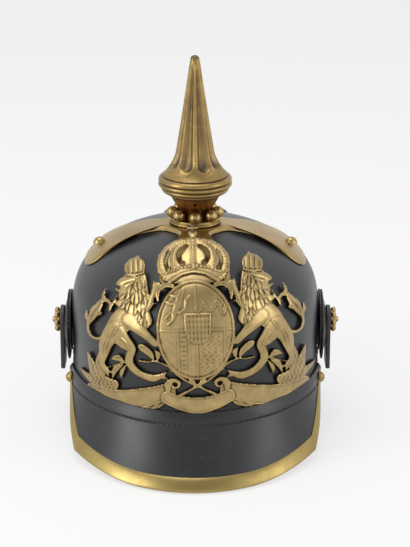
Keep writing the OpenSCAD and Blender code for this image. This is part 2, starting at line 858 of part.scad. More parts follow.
// Spike: a turned collar with rounded mouldings, a fluted point and a hollow screwed stem
spike_foot = neck_top_height + spike_washer_t;
collar_top = spike_foot + 14.3;
flute_foot = collar_top + 5;
flute_run_in = 7;
flute_run_out = 12;
tip_ball_r = 2.9;
tip_length = 14;
// Radius of the fluted point at its foot, were it straight, and how it flares out there into the collar
slim_r = 16.6;
flare = 6.6;
flare_share = 0.2;
hollow_share = 0.8;
stem_wall = 1.5;
// Rounded mouldings of the collar: distance in from the widest radius, height over the foot, own radius
mouldings = [[7.7, 1.3, 1.3], [4.4, 4.4, 2], [1.9, 7.6, 1.9], [2.6, 10.6, 2.6]];

// Radius of the spike's ridges, and of its hollow, at height z
function ridge_r(z) =
    let (u = (z - collar_top) / (tip_height - tip_ball_r / 2 - collar_top))
    mix(slim_r, tip_ball_r, pow(u, 0.88)) + flare * pow(max(0, 1 - u / flare_share), 2);
function hollow_r(z) = max(1, ridge_r(z) * hollow_share - spike_wall);

// Share of a flute's depth at angle a
function flute_at(a) = 1 - pow(1 - abs(sin(a * flutes / 2)), 1.6);
function fluted_r(a, z) =
    ridge_r(z) * (1 - flute_depth * flute_at(a) * smooth((z - flute_foot) / flute_run_in)
        * (1 - smooth((z - tip_height + flute_run_out) / 8)));

module spike() {
    columns = [for (i = [0:flutes * 6 - 1]) 60 * i / flutes];
    levels = concat([0, 0.03, 0.06, 0.09, 0.12], [for (i = [1:6]) mix(0.12, 1, i / 6)]);
    stem_bore = stem_r - stem_wall;
    hollow = hollow_r(collar_top);
    function height(u) = mix(collar_top - 1.5, tip_height - tip_ball_r, u);
    function ring_point(a, r, z) = [r * sin(a), -r * cos(a), z];
    color(brass) {
        sheet(
            [for (a = columns) [for (u = levels) ring_point(a, fluted_r(a, max(height(u), collar_top)), height(u))]],
            [for (a = columns) [for (u = levels) ring_point(a, hollow_r(max(height(u), collar_top)), height(u))]]
        );
        translate([0, 0, spike_foot])
            rotate_extrude()
                difference() {
                    union() {
                        polygon([
                            [stem_bore, 0], [neck_top_r + 1.4, 0], [spike_collar_r - 3.4, 4.4],
                            [spike_collar_r - 1.2, 6], [spike_collar_r - 1.6, 13],
                            [ridge_r(collar_top), collar_top - spike_foot], [stem_bore, collar_top - spike_foot]
                        ]);
                        for (m = mouldings)
                            translate([spike_collar_r - m[0], m[1]])
                                circle(r = m[2]);
                    }
                    polygon([
                        [0, 0], [stem_bore, 0], [stem_bore, 1.8], [neck_top_r - 2, 1.8],
                        [spike_collar_r - 6, 6], [spike_collar_r - 6, 11], [hollow, collar_top - spike_foot - 1],
                        [hollow, tip_height], [0, tip_height]
                    ]);
                }
        translate([0, 0, spike_foot])
            rotate_extrude()
                polygon([[stem_bore, -stem_length], [stem_r, -stem_length], [stem_r, 1], [stem_bore, 1]]);
        translate([0, 0, tip_height - tip_ball_r])
            sphere(r = tip_ball_r);
        translate([0, 0, tip_height - tip_length])
            cylinder(
                r1 = ridge_r(tip_height - tip_length) * hollow_share, r2 = tip_ball_r,
                h = tip_length - tip_ball_r, $fn = 24
            );
    }
}

// Helmet plate. Its drawing is in millimetres as seen from in front and a little above, x right and
// y up from the shield's centre. It is laid on the skull along those lines of sight, as it was pressed.

sight_tilt = 20.8;
sight_distance = 1250;
depth_behind = 105;
depth_ahead = 25;
crown_foot = 112;
crown_slope = 30;
plate_top_share = 0.93;
relief_inset = 0.75;
shield_middle = 0.7;
seam_clearance = 0.6;

// A tapering stroke through points [x, y, radius]; the relief's strokes are thinner by $inset
module stroke(points) {
    for (i = [0:len(points) - 2])
        hull() {
            for (p = [points[i], points[i + 1]])
                translate([p[0], p[1]])
                    circle(r = max(0.4, p[2] - $inset), $fn = 8);
        }
}

module both_sides() {
    children();
    mirror([1, 0])
        children();
}

module oval(half_width, half_height) {
    scale([half_width / half_height, 1])
        circle(r = half_height, $fn = 28);
}

module crown_drawing() {
    difference() {
        offset(delta = -$inset)
            polygon([
                [-15.5, 31.5], [-24.1, 39.2], [-24, 49], [-18, 57.5], [-8, 62], [0, 63.5],
                [8, 62], [18, 57.5], [24, 49], [24.1, 39.2], [15.5, 31.5], [0, 30]
            ]);
        both_sides() {
            stroke([[16.4, 52, 1.2 + 2 * $inset], [17.4, 41.5, 1 + 2 * $inset]]);
            stroke([[4.3, 56, 1.1 + 2 * $inset], [7.8, 45.5, 1.1 + 2 * $inset]]);
        }
    }
    stroke([[0, 63.4, 2.6], [0, 64.6, 2.6]]);
    stroke([[0, 66, 1.4], [0, 70, 1.4]]);
    stroke([[-3, 68.2, 1.4], [3, 68.2, 1.4]]);
}

module lion_drawing() {
    offset(delta = -$inset)
        polygon([[32, 38.4], [45.6, 38.4], [46.4, 45.5], [41.6, 45.5], [37, 51], [34.6, 45.5], [31.8, 46.5]]);
    stroke([[39, 34, 6.4], [41.5, 24, 9.5], [42.5, 14, 8.5], [47, 8, 7]]);
    stroke([[44, 34, 3.2], [49, 32.5, 2.2]]);
    stroke([[35, 14, 4], [29.4, 18.5, 3], [27, 29.5, 3.2]]);
    stroke([[43, 7, 4.5], [34.5, -1, 3.6], [28, -7, 3]]);
    stroke([[48, 7, 7], [51.5, 1, 7]]);
    stroke([[55.5, 0, 6], [61, -12, 4], [63.5, -22, 3.2]]);
    stroke([[53, -4, 6], [43.5, -10.9, 3.8], [44.5, -19.7, 3.4], [36.2, -29, 3.2], [25, -30.6, 2.8]]);
    stroke([[60, -2.5, 2], [69.5, -2, 2], [70.6, 7, 2.2], [64, 14, 3.2], [60, 22, 3.4], [58.5, 29, 3]]);
}

module ribbon_drawing() {
    stroke([[-18.4, -45.4, 4.4], [-9, -49.6, 5], [0, -50.7, 5.6], [9, -49.6, 5], [18.4, -45.4, 4.4]]);
    both_sides() {
        stroke([[-4.5, -33, 1.8], [0, -37.4, 1.6], [11.5, -43.6, 1.8]]);
        stroke([[20, -40.6, 5.4], [38, -44.4, 6.6], [55, -44.1, 5.2], [68, -37.9, 4]]);
        stroke([[22, -48.8, 3.4], [34, -49.4, 3.4]]);
        stroke([[13, -34.6, 3], [19.4, -35.4, 3]]);
        stroke([[61.5, -31.5, 6.5], [67, -22, 5], [71.5, -14, 3.4]]);
    }
}

module branch_drawing() {
    stroke([[1.3, -37, 1.2], [15.5, -27.8, 1.2], [27.4, -20.4, 1.2], [38.3, -19.2, 1.1]]);
    stroke([[29, -19, 1.2], [33, -14, 2.6], [37, -10.5, 1.6]]);
    stroke([[45, -20, 1.4], [53, -18, 2.4]]);
    stroke([[54.4, -37, 2.6], [54.4, -24, 2.4]]);
}

module sheet_drawing() {
    crown_drawing();
    oval(26.6, 33.6);
    ribbon_drawing();
    both_sides() {
        scroll_drawing();
        lion_drawing();
        branch_drawing();
    }
}

// Small scrolls at the shield's upper corners
module scroll_drawing() {
    stroke([[15, 29.5, 3], [22.4, 27.6, 3.4], [23.6, 21.6, 2.4]]);
}

// Fields of the shield: cross lines, heart shield, and raised figures in three quarters
module shield_drawing() {
    difference() {
        oval(26.6 - $inset, 33.6 - $inset);
        oval(24.4, 31.4);
    }
    stroke([[0, 31, 1.2], [0, -31, 1.2]]);
    stroke([[-25, 0, 1.2], [25, 0, 1.2]]);
    translate([1.6, 0])
        polygon([[-8.6, 10.8], [8.6, 10.8], [8.6, -2], [5.5, -7.5], [0, -9.6], [-5.5, -7.5], [-8.6, -2]]);
    stroke([[-11, 24, 2.6], [-13, 15, 3.4], [-17, 8, 2.4]]);
    stroke([[-13, -4, 1.5], [-13, -24, 1.5]]);
    stroke([[13, -10, 2.4], [13, -20, 2.4]]);
}

module relief_drawing() {
    crown_drawing();
    ribbon_drawing();
    both_sides() {
        scroll_drawing();
        lion_drawing();
    }
    shield_drawing();
}

// The plate's own space over the leather, between two heights above its back
module plate_shell(from, to) {
    foot = wall_share * (seam_clearance + $inset) / (widest_height - rim_height);
    columns = [for (i = [-11:10]) (i + 0.5) * 7.5];
    rows = concat([foot, wall_share * 0.5], [for (i = [0:6]) mix(wall_share, plate_top_share, i / 6)]);
    function at(a, s, d) =
        let (climb = max(0, skull_point(a, s)[2] - crown_foot) / crown_slope)
        let (stand_off = plate_gap + crown_gap * pow(climb, 1.5))
        skull_point(a, s, stand_off + d);
    sheet(
        [for (a = columns) [for (s = rows) at(a, s, to)]],
        [for (a = columns) [for (s = rows) at(a, s, from)]],
        false
    );
}

// Lays a drawing, drawn in by $inset, on the plate's shell along the lines of sight
module pressed(from, to) {
    intersection() {
        plate_shell(from, to);
        translate(skull_at(0, shield_height))
            rotate([90 - sight_tilt, 0, 0])
                translate([0, 0, -depth_behind])
                    linear_extrude(
                        depth_behind + depth_ahead,
                        scale = (sight_distance - depth_ahead) / (sight_distance + depth_behind)
                    )
                        scale(1 + depth_behind / sight_distance)
                            translate([shield_middle, 0])
                                rotate(plate_tilt)
                                    children();
    }
}

module helmet_plate() {
    color(brass) {
        pressed(0, plate_sheet, $inset = 0)
            sheet_drawing();
        pressed(plate_sheet / 2, plate_sheet + relief, $inset = relief_inset)
            relief_drawing();
    }
}

// Screwed posts soldered to the plate's back, with leather washers and nuts inside the skull
plate_post_r = 1.5;

module at_plate_post(d) {
    for (a = [-post_angle, post_angle])
        on_wall(a, post_height, d)
            children();
}

// The posts end just short of the plate's curved back
post_top = plate_gap - 0.3;
leather_washer = [5, 1.2];
plate_nut_depth = skull_leather + nut_gap + leather_washer[1] + fit + plate_nut[1];

module plate_posts() {
    color(brass)
        at_plate_post(-plate_nut_depth - 1)
            cylinder(r = plate_post_r, h = plate_nut_depth + 1 + post_top);
}

module plate_post_washers() {
    color("saddlebrown")
        at_plate_post(-skull_leather - nut_gap - leather_washer[1])
            washer(leather_washer[0], leather_washer[1], plate_post_r);
}

module plate_post_nuts() {
    color(brass)
        at_plate_post(-plate_nut_depth)
            nut(plate_nut, plate_post_r);
}

// Sides, each built on +X and mirrored for the left: disc, cockade, strap end, rosette, post and nut

wall_x = skull_at(90, pivot_height)[0];
backing_x = wall_x + 0.2;
cockade_x = backing_x + backing_t + body_gap;
tab_x = cockade_x + cockade_t + cockade_dish + body_gap;
rosette_x = tab_x + tab_t + body_gap;

module on_side(side, x, z) {
    mirror([side < 0 ? 1 : 0, 0, 0])
        translate([x, 0, z])
            rotate([0, 90, 0])
                children();
}

module backing_disc(side) {
    color(black_leather)
        on_side(side, backing_x, pivot_height)
            washer(backing_r, backing_t, side_post_r);
}

post_clearance = 0.1;
cockade_hole_r = side_post_r + cockade_drop + post_clearance;
cockade_teeth = 60;
tooth_depth = 0.8;
cockade_rim = 1;

module cockade(side) {
    color([0.08, 0.08, 0.09])
        on_side(side, cockade_x, pivot_height - cockade_drop)
            difference() {
                union() {
                    rotate_extrude()
                        polygon([
                            [cockade_hole_r, cockade_dish], [cockade_r * 0.5, cockade_dish], [cockade_r * 0.8, 0],
                            [cockade_r - cockade_rim, 0], [cockade_r - cockade_rim, cockade_t],
                            [cockade_r * 0.8, cockade_t], [cockade_r * 0.5, cockade_t + cockade_dish],
                            [cockade_hole_r, cockade_t + cockade_dish]
                        ]);
                    linear_extrude(cockade_t)
                        difference() {
                            polygon([
                                for (i = [0:2 * cockade_teeth - 1]) let (turn = 180 * i / cockade_teeth)
                                    (cockade_r - (i % 2) * tooth_depth) * [cos(turn), sin(turn)]
                            ]);
                            circle(r = cockade_r - 2 * cockade_rim);
                        }
                }
                cylinder(r = cockade_hole_r, h = cutter, center = true);
            }
}

tab_hole_x = tab_drop - tab_width * 0.3;
tab_corner_r = 3;

module strap_end(side) {
    color([0.2, 0.19, 0.18])
        on_side(side, tab_x, pivot_height)
            difference() {
                union() {
                    cylinder(r = tab_width / 2, h = tab_t);
                    translate([0, -tab_width / 2, 0])
                        cube([tab_drop - tab_corner_r, tab_width, tab_t]);
                    for (y = [-1, 1])
                        translate([tab_drop - tab_corner_r, y * (tab_width / 2 - tab_corner_r), 0])
                            cylinder(r = tab_corner_r, h = tab_t);
                    translate([tab_drop / 2, tab_corner_r - tab_width / 2, 0])
                        cube([tab_drop / 2, tab_width - 2 * tab_corner_r, tab_t]);
                }
                cylinder(r = side_post_r + post_clearance, h = cutter, center = true);
                translate([tab_hole_x, 0, 0])
                    cylinder(r = tab_hole_r, h = cutter, center = true);
            }
}

petals = 8;
petal_r = 2.4;
knob_r = 2;
brass_washer = [6.5, 0.9];
side_nut_depth = skull_leather + nut_gap + brass_washer[1] + fit + side_nut[1];

module rosette(side) {
    color(brass)
        on_side(side, rosette_x, pivot_height) {
            cylinder(r = rosette_r * 0.8, h = rosette_t * 0.3);
            for (i = [0:petals - 1])
                rotate([0, 0, 360 * i / petals])
                    translate([rosette_r - petal_r, 0, rosette_t * 0.34])
                        scale([1, 1, 0.8])
                            sphere(r = petal_r);
            translate([0, 0, rosette_t * 0.3])
                dome_cap(rosette_r * 0.62, rosette_t * 0.45);
            translate([0, 0, rosette_t - knob_r])
                sphere(r = knob_r);
            translate([0, 0, wall_x - rosette_x - side_nut_depth - 0.5])
                cylinder(r = side_post_r, h = rosette_x - wall_x + side_nut_depth + 1);
        }
}

module post_washer(side) {
    color(brass)
        on_side(side, wall_x - skull_leather - nut_gap - brass_washer[1], pivot_height)
            washer(brass_washer[0], brass_washer[1], side_post_r);
}

module post_nut(side) {
    color(brass)
        on_side(side, wall_x - side_nut_depth, pivot_height)
            nut(side_nut, side_post_r);
}

skull();
front_visor();
front_visor_lining();
neck_guard();
neck_guard_lining();
stitch_row(-stitched_half_angle, stitched_half_angle);  // visor_stitching
stitch_row(180 - stitched_half_angle, 180 + stitched_half_angle);  // neck_guard_stitching
sweatband();
silk_lining();
visor_trim();
trim_studs();
trim_stud_washers();
rear_spine();
spine_screws();
spine_screw_nuts();
spike_base();
base_studs();
base_stud_nuts();
front_arm_screw();
base_clamp_ring();
base_collar();
pearl_ring();
spike_neck();
neck_screw_ring();
spike_washer();
spike();
helmet_plate();
plate_posts();
plate_post_washers();
plate_post_nuts();
backing_disc(-1);  // left_backing_disc
cockade(-1);  // left_cockade
strap_end(-1);  // left_strap_end
rosette(-1);  // left_rosette
post_washer(-1);  // left_post_washer
post_nut(-1);  // left_post_nut
backing_disc(1);  // right_backing_disc
cockade(1);  // right_cockade
strap_end(1);  // right_strap_end
rosette(1);  // right_rosette
post_washer(1);  // right_post_washer
post_nut(1);  // right_post_nut
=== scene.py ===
import math
import bmesh
import bpy
import numpy as np
from mathutils import Matrix, Vector, noise


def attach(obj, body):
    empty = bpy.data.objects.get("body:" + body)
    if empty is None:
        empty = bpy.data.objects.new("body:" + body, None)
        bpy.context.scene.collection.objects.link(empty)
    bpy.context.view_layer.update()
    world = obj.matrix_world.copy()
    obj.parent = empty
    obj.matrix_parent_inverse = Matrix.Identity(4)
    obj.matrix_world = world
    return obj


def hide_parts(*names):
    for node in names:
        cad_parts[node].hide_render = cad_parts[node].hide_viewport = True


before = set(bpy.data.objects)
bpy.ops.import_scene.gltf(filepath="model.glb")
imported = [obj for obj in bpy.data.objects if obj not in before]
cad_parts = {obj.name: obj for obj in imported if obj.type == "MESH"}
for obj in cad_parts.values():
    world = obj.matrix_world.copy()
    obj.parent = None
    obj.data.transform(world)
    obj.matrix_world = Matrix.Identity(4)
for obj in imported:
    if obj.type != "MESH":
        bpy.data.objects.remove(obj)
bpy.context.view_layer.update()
MM = 0.001


# Camera and studio
# The camera looks nineteen degrees down at the helmet from straight in front of it. The floor is plain and
# pale, and large soft boxes hang above and at both sides. The room is white, but what the brass and the
# leather mirror of it is dimmer high up in front.
view_target = Vector((6.95, 0, 107.25)) * MM
view_distance = 1350 * MM
view_drop = math.radians(19)
focal_px = 1883
photo_height_px = 547
sensor_mm = 36
floor_size = 14
floor_grey = 0.3
floor_glow = 0.66
room_light = 0.6
room_seen = 0.95
room_dimmest = 0.42
dim_side = (0, -0.42, 0.91)
dim_begins = 0.82
dim_whole = 0.97
box_aim = Vector((0, 0, 0.12))


def add_node(tree, kind, inputs=None, **settings):
    """A shader node with its settings. Inputs maps socket names to values or to other nodes' sockets."""
    made = tree.nodes.new(kind)
    for name, value in settings.items():
        setattr(made, name, value)
    for name, value in (inputs or {}).items():
        socket = made.inputs[name]
        if isinstance(value, bpy.types.NodeSocket):
            tree.links.new(value, socket)
        else:
            socket.default_value = value
    return made


def maths(tree, operation, first, second=0.0, clamp=False):
    """The result of one sum on two values or sockets."""
    made = add_node(tree, "ShaderNodeMath", {0: first, 1: second}, operation=operation, use_clamp=clamp)
    return made.outputs[0]


def seen_directly(tree):
    """One for the camera's own, mirrored and transmitted rays, and nought for the rays that light things."""
    path = add_node(tree, "ShaderNodeLightPath")
    mirrored = maths(tree, "MAXIMUM", path.outputs["Is Glossy Ray"], path.outputs["Is Transmission Ray"])
    return maths(tree, "MAXIMUM", path.outputs["Is Camera Ray"], mirrored)


bpy.ops.object.camera_add(
    location=view_target + view_distance * Vector((0, -math.cos(view_drop), math.sin(view_drop))),
    rotation=(math.pi / 2 - view_drop, 0, 0),
)
camera = bpy.context.object
camera.data.sensor_width = sensor_mm
camera.data.lens = sensor_mm * focal_px / photo_height_px
bpy.context.scene.camera = camera
bpy.context.scene.view_settings.view_transform = "Standard"

room = bpy.data.worlds.new("white_room")
bpy.context.scene.world = room
room.use_nodes = True
room.node_tree.nodes.clear()
room_side = add_node(room.node_tree, "ShaderNodeTexCoord").outputs["Generated"]
toward_dim = add_node(room.node_tree, "ShaderNodeVectorMath", {0: room_side, 1: dim_side},
                      operation="DOT_PRODUCT").outputs["Value"]
room_mirrored = add_node(room.node_tree, "ShaderNodeMapRange",
                         {"Value": toward_dim, "From Min": dim_begins, "From Max": dim_whole,
                          "To Min": room_seen, "To Max": room_dimmest}).outputs[0]
room_level = add_node(room.node_tree, "ShaderNodeMapRange",
                      {"Value": seen_directly(room.node_tree), "To Min": room_light, "To Max": room_mirrored})
room_shader = add_node(room.node_tree, "ShaderNodeBackground",
                       {"Color": (1, 1, 1, 1), "Strength": room_level.outputs[0]})
add_node(room.node_tree, "ShaderNodeOutputWorld", {"Surface": room_shader.outputs[0]})

bpy.ops.mesh.primitive_plane_add(size=floor_size)
floor = bpy.context.object
floor.name = "studio_floor"
pale = bpy.data.materials.new("pale_floor")
pale.use_nodes = True
pale.node_tree.nodes.clear()
matt = add_node(pale.node_tree, "ShaderNodeBsdfDiffuse", {"Color": (floor_grey, floor_grey, floor_grey, 1)})
glow_level = maths(pale.node_tree, "MULTIPLY", seen_directly(pale.node_tree), floor_glow)
glow = add_node(pale.node_tree, "ShaderNodeEmission", {"Color": (1, 1, 1, 1), "Strength": glow_level})
floor_mix = add_node(pale.node_tree, "ShaderNodeAddShader", {0: matt.outputs[0], 1: glow.outputs[0]})
add_node(pale.node_tree, "ShaderNodeOutputMaterial", {"Surface": floor_mix.outputs[0]})
floor.data.materials.append(pale)


def soft_box(name, place, width, height, watts):
    """A soft box that faces the helmet."""
    aim = (box_aim - Vector(place)).to_track_quat("-Z", "Y")
    bpy.ops.object.light_add(type="AREA", location=place, rotation=aim.to_euler())
    box = bpy.context.object
    box.name = name
    box.data.shape = "RECTANGLE"
    box.data.size = width
    box.data.size_y = height
    box.data.energy = watts


soft_box("soft_box_above", (-0.15, 0.05, 1.35), 0.8, 0.7, 4.6)
soft_box("soft_box_left", (-1.1, -0.55, 0.6), 0.5, 0.8, 6)
soft_box("soft_box_right", (1.15, -0.35, 0.55), 0.4, 0.8, 2.8)


# Leather skull
# The skull is one cap of cowhide, drawn over a form while wet, blacked and polished. Its rim is turned out
# as a flange, to which the visor and the neck guard are sewn, and the spike's air passes through its crown.
skull_half_width = 88.5 * MM
skull_half_length = 106 * MM
widest_z = 75 * MM
dome_rise = 70 * MM
rim_z = 44.5 * MM
skull_leather = 2.4 * MM
visor_leather = 1.7 * MM
flange_width = 9 * MM
air_hole_r = 9 * MM
width_power = 1.85
height_power = 3.3
rim_taper = 0.012
wall_share = 0.25
hide_unevenness = 0.16 * MM


def skull_level(z, grown=0.0):
    """Share of its full width that the skull has at a height."""
    wall = 1 - rim_taper * ((widest_z - z) / (widest_z - rim_z)) ** 2
    climb = np.clip((z - widest_z) / (dome_rise + grown), 0, 1)
    return np.where(z <= widest_z, wall, (1 - climb ** height_power) ** (1 / width_power))


def skull_at(angle, z, grown=0.0):
    """Points of the skull at an angle from the front and a height, or of a larger skull round it."""
    share = skull_level(z, grown)
    across = (skull_half_width + grown) * share * np.sin(angle)
    along = -(skull_half_length + grown) * share * np.cos(angle)
    return np.stack(np.broadcast_arrays(across, along, z), axis=-1)


def skull_point(angle, share, grown=0.0):
    """Points of the skull at an angle from the front and a share of the way from the rim to the crown."""
    lift = math.pi / 2 * np.clip((share - wall_share) / (1 - wall_share), 0, 1) ** 1.4
    narrow = np.maximum(np.cos(lift), 0) ** (2 / width_power)
    dome = np.stack(np.broadcast_arrays(
        (skull_half_width + grown) * narrow * np.sin(angle),
        -(skull_half_length + grown) * narrow * np.cos(angle),
        widest_z + (dome_rise + grown) * np.sin(lift) ** (2 / height_power)), axis=-1)
    wall = skull_at(angle, rim_z + (widest_z - rim_z) * np.minimum(share / wall_share, 1), grown)
    return np.where((share < wall_share)[..., None], wall, dome)


def dome_z(x, y, grown=0.0):
    """Height of the dome, or of a larger one round it, over a point of the ground."""
    out = np.minimum(0.999, np.hypot(x / (skull_half_width + grown), y / (skull_half_length + grown)))
    return widest_z + (dome_rise + grown) * (1 - out ** width_power) ** (1 / height_power)


def added(make, **settings):
    """The piece that an operator adds, which is then the only one selected."""
    bpy.ops.object.select_all(action="DESELECT")
    make(**settings)
    return bpy.context.object


def edited(*steps):
    """Runs operators, each with its settings, on the whole of the active piece in edit mode."""
    bpy.ops.object.mode_set(mode="EDIT")
    bpy.ops.mesh.select_all(action="SELECT")
    for step, settings in steps:
        step(**settings)
    bpy.ops.object.mode_set(mode="OBJECT")


def put_points(piece, places):
    """Moves a piece's points to these places."""
    piece.data.vertices.foreach_set("co", np.asarray(places, np.float32).ravel())
    piece.data.update()


def points_of(piece):
    """The places of a piece's points, one to a row."""
    places = np.empty(len(piece.data.vertices) * 3)
    piece.data.vertices.foreach_get("co", places)
    return places.reshape(-1, 3)


def laid(name, points, seam=True):
    """A grid of faces laid on an array of points. Edges that meet are joined unless told not to."""
    columns, rows = points.shape[:2]
    piece = added(bpy.ops.mesh.primitive_grid_add,
                  x_subdivisions=columns - 1, y_subdivisions=rows - 1, size=1)
    piece.name = name
    put_points(piece, points.transpose(1, 0, 2))
    if seam:
        tidy_mesh(piece)
    return piece


def woven(name, loops, ring=True):
    """A piece woven from closed loops of points, each joined to the next. An open run gets closed ends."""
    points = np.concatenate([loops, loops[:, :1]], axis=1)
    if ring:
        points = np.concatenate([points, points[:1]])
    piece = laid(name, points)
    if not ring:
        edited((bpy.ops.mesh.fill_holes, {"sides": 0}))
        tidy_mesh(piece)
    return piece


def walled(outer, inner):
    """Closed loops that run out along the rows of one face and back along those of the other."""
    return np.concatenate([outer, inner[:, ::-1]], axis=1)


def only(piece):
    """Makes a piece the one that operators act on."""
    bpy.ops.object.select_all(action="DESELECT")
    piece.select_set(True)
    bpy.context.view_layer.objects.active = piece


def tidy_mesh(piece, near=0.002 * MM):
    """Merges points that fell together and turns the faces outwards."""
    only(piece)
    edited((bpy.ops.mesh.remove_doubles, {"threshold": near}),
           (bpy.ops.mesh.dissolve_degenerate, {"threshold": near / 4}),
           (bpy.ops.mesh.normals_make_consistent, {"inside": False}))


def smooth(piece, degrees=40):
    """Shades a piece smooth, but for edges that turn more sharply than this."""
    only(piece)
    bpy.ops.object.shade_smooth_by_angle(angle=math.radians(degrees))


def uneven(piece, amount, size, where=None):
    """Moves a surface in and out a little, as hand work leaves it. Where gives each point's share of it."""
    for point in piece.data.vertices:
        share = float(where(point.co)) if where else 1
        point.co += point.normal * amount * share * noise.noise(point.co / size)


def fit(piece, body, material, slot, *nodes):
    """Gives a finished piece its material, and lets it ride on its body in place of its CAD nodes."""
    piece.data.materials.clear()
    piece.data.materials.append(material)
    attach(piece, body)
    if nodes:
        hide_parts(*nodes)


def new_group(name, inputs, outputs):
    """An empty shader node group with named inputs and outputs."""
    group = bpy.data.node_groups.new(name, "ShaderNodeTree")
    for label, kind in inputs:
        group.interface.new_socket(name=label, in_out="INPUT", socket_type=kind)
    for label, kind in outputs:
        group.interface.new_socket(name=label, in_out="OUTPUT", socket_type=kind)
    return group, group.nodes.new("NodeGroupInput"), group.nodes.new("NodeGroupOutput")


def hide_group():
    """Grain, creases and rubbed places of polished hide, as masks and as a height."""
    group, given, result = new_group(
        "polished_hide",
        [("Grain Size", "NodeSocketFloat"), ("Rubbing", "NodeSocketFloat")],
        [("Height", "NodeSocketFloat"), ("Rubbed", "NodeSocketFloat"), ("Mottle", "NodeSocketFloat")],
    )
    place = add_node(group, "ShaderNodeTexCoord").outputs["Object"]
    fine = maths(group, "DIVIDE", 1.0, given.outputs["Grain Size"])
    pebbles = add_node(group, "ShaderNodeTexVoronoi", {"Vector": place, "Scale": fine, "Randomness": 1.0},
                       feature="SMOOTH_F1")
    pores = add_node(group, "ShaderNodeTexNoise", {"Vector": place, "Scale": 1900.0, "Detail": 4.0})
    ripple = add_node(group, "ShaderNodeTexNoise", {"Vector": place, "Scale": 95.0, "Detail": 3.0})
    mottle = add_node(group, "ShaderNodeTexNoise",
                      {"Vector": place, "Scale": 26.0, "Detail": 6.0, "Roughness": 0.62, "Distortion": 0.4})
    streaks = add_node(group, "ShaderNodeMapping", {"Vector": place, "Scale": (210.0, 210.0, 900.0)})
    scuffs = add_node(group, "ShaderNodeTexNoise",
                      {"Vector": streaks.outputs[0], "Scale": 1.0, "Detail": 5.0, "Distortion": 1.2})
    rubbed = add_node(group, "ShaderNodeMapRange",
                      {"Value": scuffs.outputs[0], "From Min": 0.56, "From Max": 0.72})
    patch = add_node(group, "ShaderNodeMapRange",
                     {"Value": mottle.outputs[0], "From Min": 0.42, "From Max": 0.7})
    rubbed_there = maths(group, "MULTIPLY", rubbed.outputs[0], patch.outputs[0])
    grain = maths(group, "MULTIPLY", pebbles.outputs["Distance"], 0.5)
    height = maths(group, "ADD", grain, maths(group, "MULTIPLY", pores.outputs[0], 0.35))
    height = maths(group, "ADD", height, maths(group, "MULTIPLY", ripple.outputs[0], 1.4))
    group.links.new(height, result.inputs["Height"])
    rubbed_share = maths(group, "MULTIPLY", rubbed_there, given.outputs["Rubbing"], True)
    group.links.new(rubbed_share, result.inputs["Rubbed"])
    group.links.new(mottle.outputs[0], result.inputs["Mottle"])
    return group


polished_hide = hide_group()


def mixed_colour(tree, share, first, second):
    """A colour between two colours."""
    mix = add_node(tree, "ShaderNodeMix", {0: share, 6: first, 7: second}, data_type="RGBA")
    return mix.outputs[2]


def surface(name):
    """A new material's name, node tree and its one shader, ready to be wired."""
    material = bpy.data.materials.new(name)
    material.use_nodes = True
    return material, material.node_tree, material.node_tree.nodes["Principled BSDF"]


def speckled(name, scale, detail, first, second, roughness):
    """A material whose colour wanders between two colours, with its node tree, its shader and the noise."""
    material, tree, shader = surface(name)
    place = add_node(tree, "ShaderNodeTexCoord").outputs["Object"]
    grain = add_node(tree, "ShaderNodeTexNoise", {"Vector": place, "Scale": scale, "Detail": detail})
    tree.links.new(mixed_colour(tree, grain.outputs[0], first, second), shader.inputs["Base Color"])
    shader.inputs["Roughness"].default_value = roughness
    return material, tree, shader, grain.outputs[0]


def bumped(tree, shader, height, depth):
    """Gives a material's surface a relief this deep."""
    bump = add_node(tree, "ShaderNodeBump", {"Height": height, "Distance": depth, "Strength": 1.0})
    tree.links.new(bump.outputs[0], shader.inputs["Normal"])


def hide_material(name, dark, light, rubbed_colour, gloss, dull, grain, depth, rubbing):
    """Polished or plain leather: a grained surface, mottled between two colours and rubbed in places."""
    material, tree, shader = surface(name)
    hide = add_node(tree, "ShaderNodeGroup", node_tree=polished_hide)
    hide.inputs["Grain Size"].default_value = grain
    hide.inputs["Rubbing"].default_value = rubbing
    body_colour = mixed_colour(tree, hide.outputs["Mottle"], dark, light)
    colour = mixed_colour(tree, hide.outputs["Rubbed"], body_colour, rubbed_colour)
    tree.links.new(colour, shader.inputs["Base Color"])
    half_mottle = maths(tree, "MULTIPLY", hide.outputs["Mottle"], 0.5)
    worn = maths(tree, "ADD", hide.outputs["Rubbed"], half_mottle, True)
    roughness = add_node(tree, "ShaderNodeMapRange", {"Value": worn, "To Min": gloss, "To Max": dull})
    tree.links.new(roughness.outputs[0], shader.inputs["Roughness"])
    bumped(tree, shader, hide.outputs["Height"], depth)
    return material


black_leather = hide_material("black_leather", (0.0095, 0.0102, 0.0122, 1), (0.018, 0.0195, 0.0235, 1),
                              (0.06, 0.06, 0.062, 1), 0.27, 0.58, 1.1 * MM, 0.035 * MM, 0.5)

skull_turns = np.radians(np.arange(0, 360, 2.5))[:, None]
flange_leather = 1.4 * MM
highest_bend = 6 * MM
flange_margin = 2.5 * MM
least_flange = 0.5 * MM
fillet = 1.3 * MM
welt_overhang = 1.7 * MM
visor_step = 3.2 * MM
reach = 141.2 * MM
visor_oval = 103.6 * MM
visor_corner = 83.6 * MM
guard_oval = 94 * MM
corner_lift = 5 * MM
guard_foot = 1.6 * MM
trim_sheet = 0.5 * MM
visor_sag = 1.5 * MM
flat_half_width = 40 * MM
guard_half_turn = math.radians(84)
guard_narrowing = 0.86


def eased(share):
    """A share that leaves nought and reaches one gently."""
    share = np.clip(share, 0, 1)
    return share * share * (3 - 2 * share)


def oval_half_width(turn):
    """Half the width of the oval that the lower edge lies on: wider in front than behind."""
    return guard_oval + (visor_oval - guard_oval) * eased((np.cos(turn) + 0.1) / 0.6)


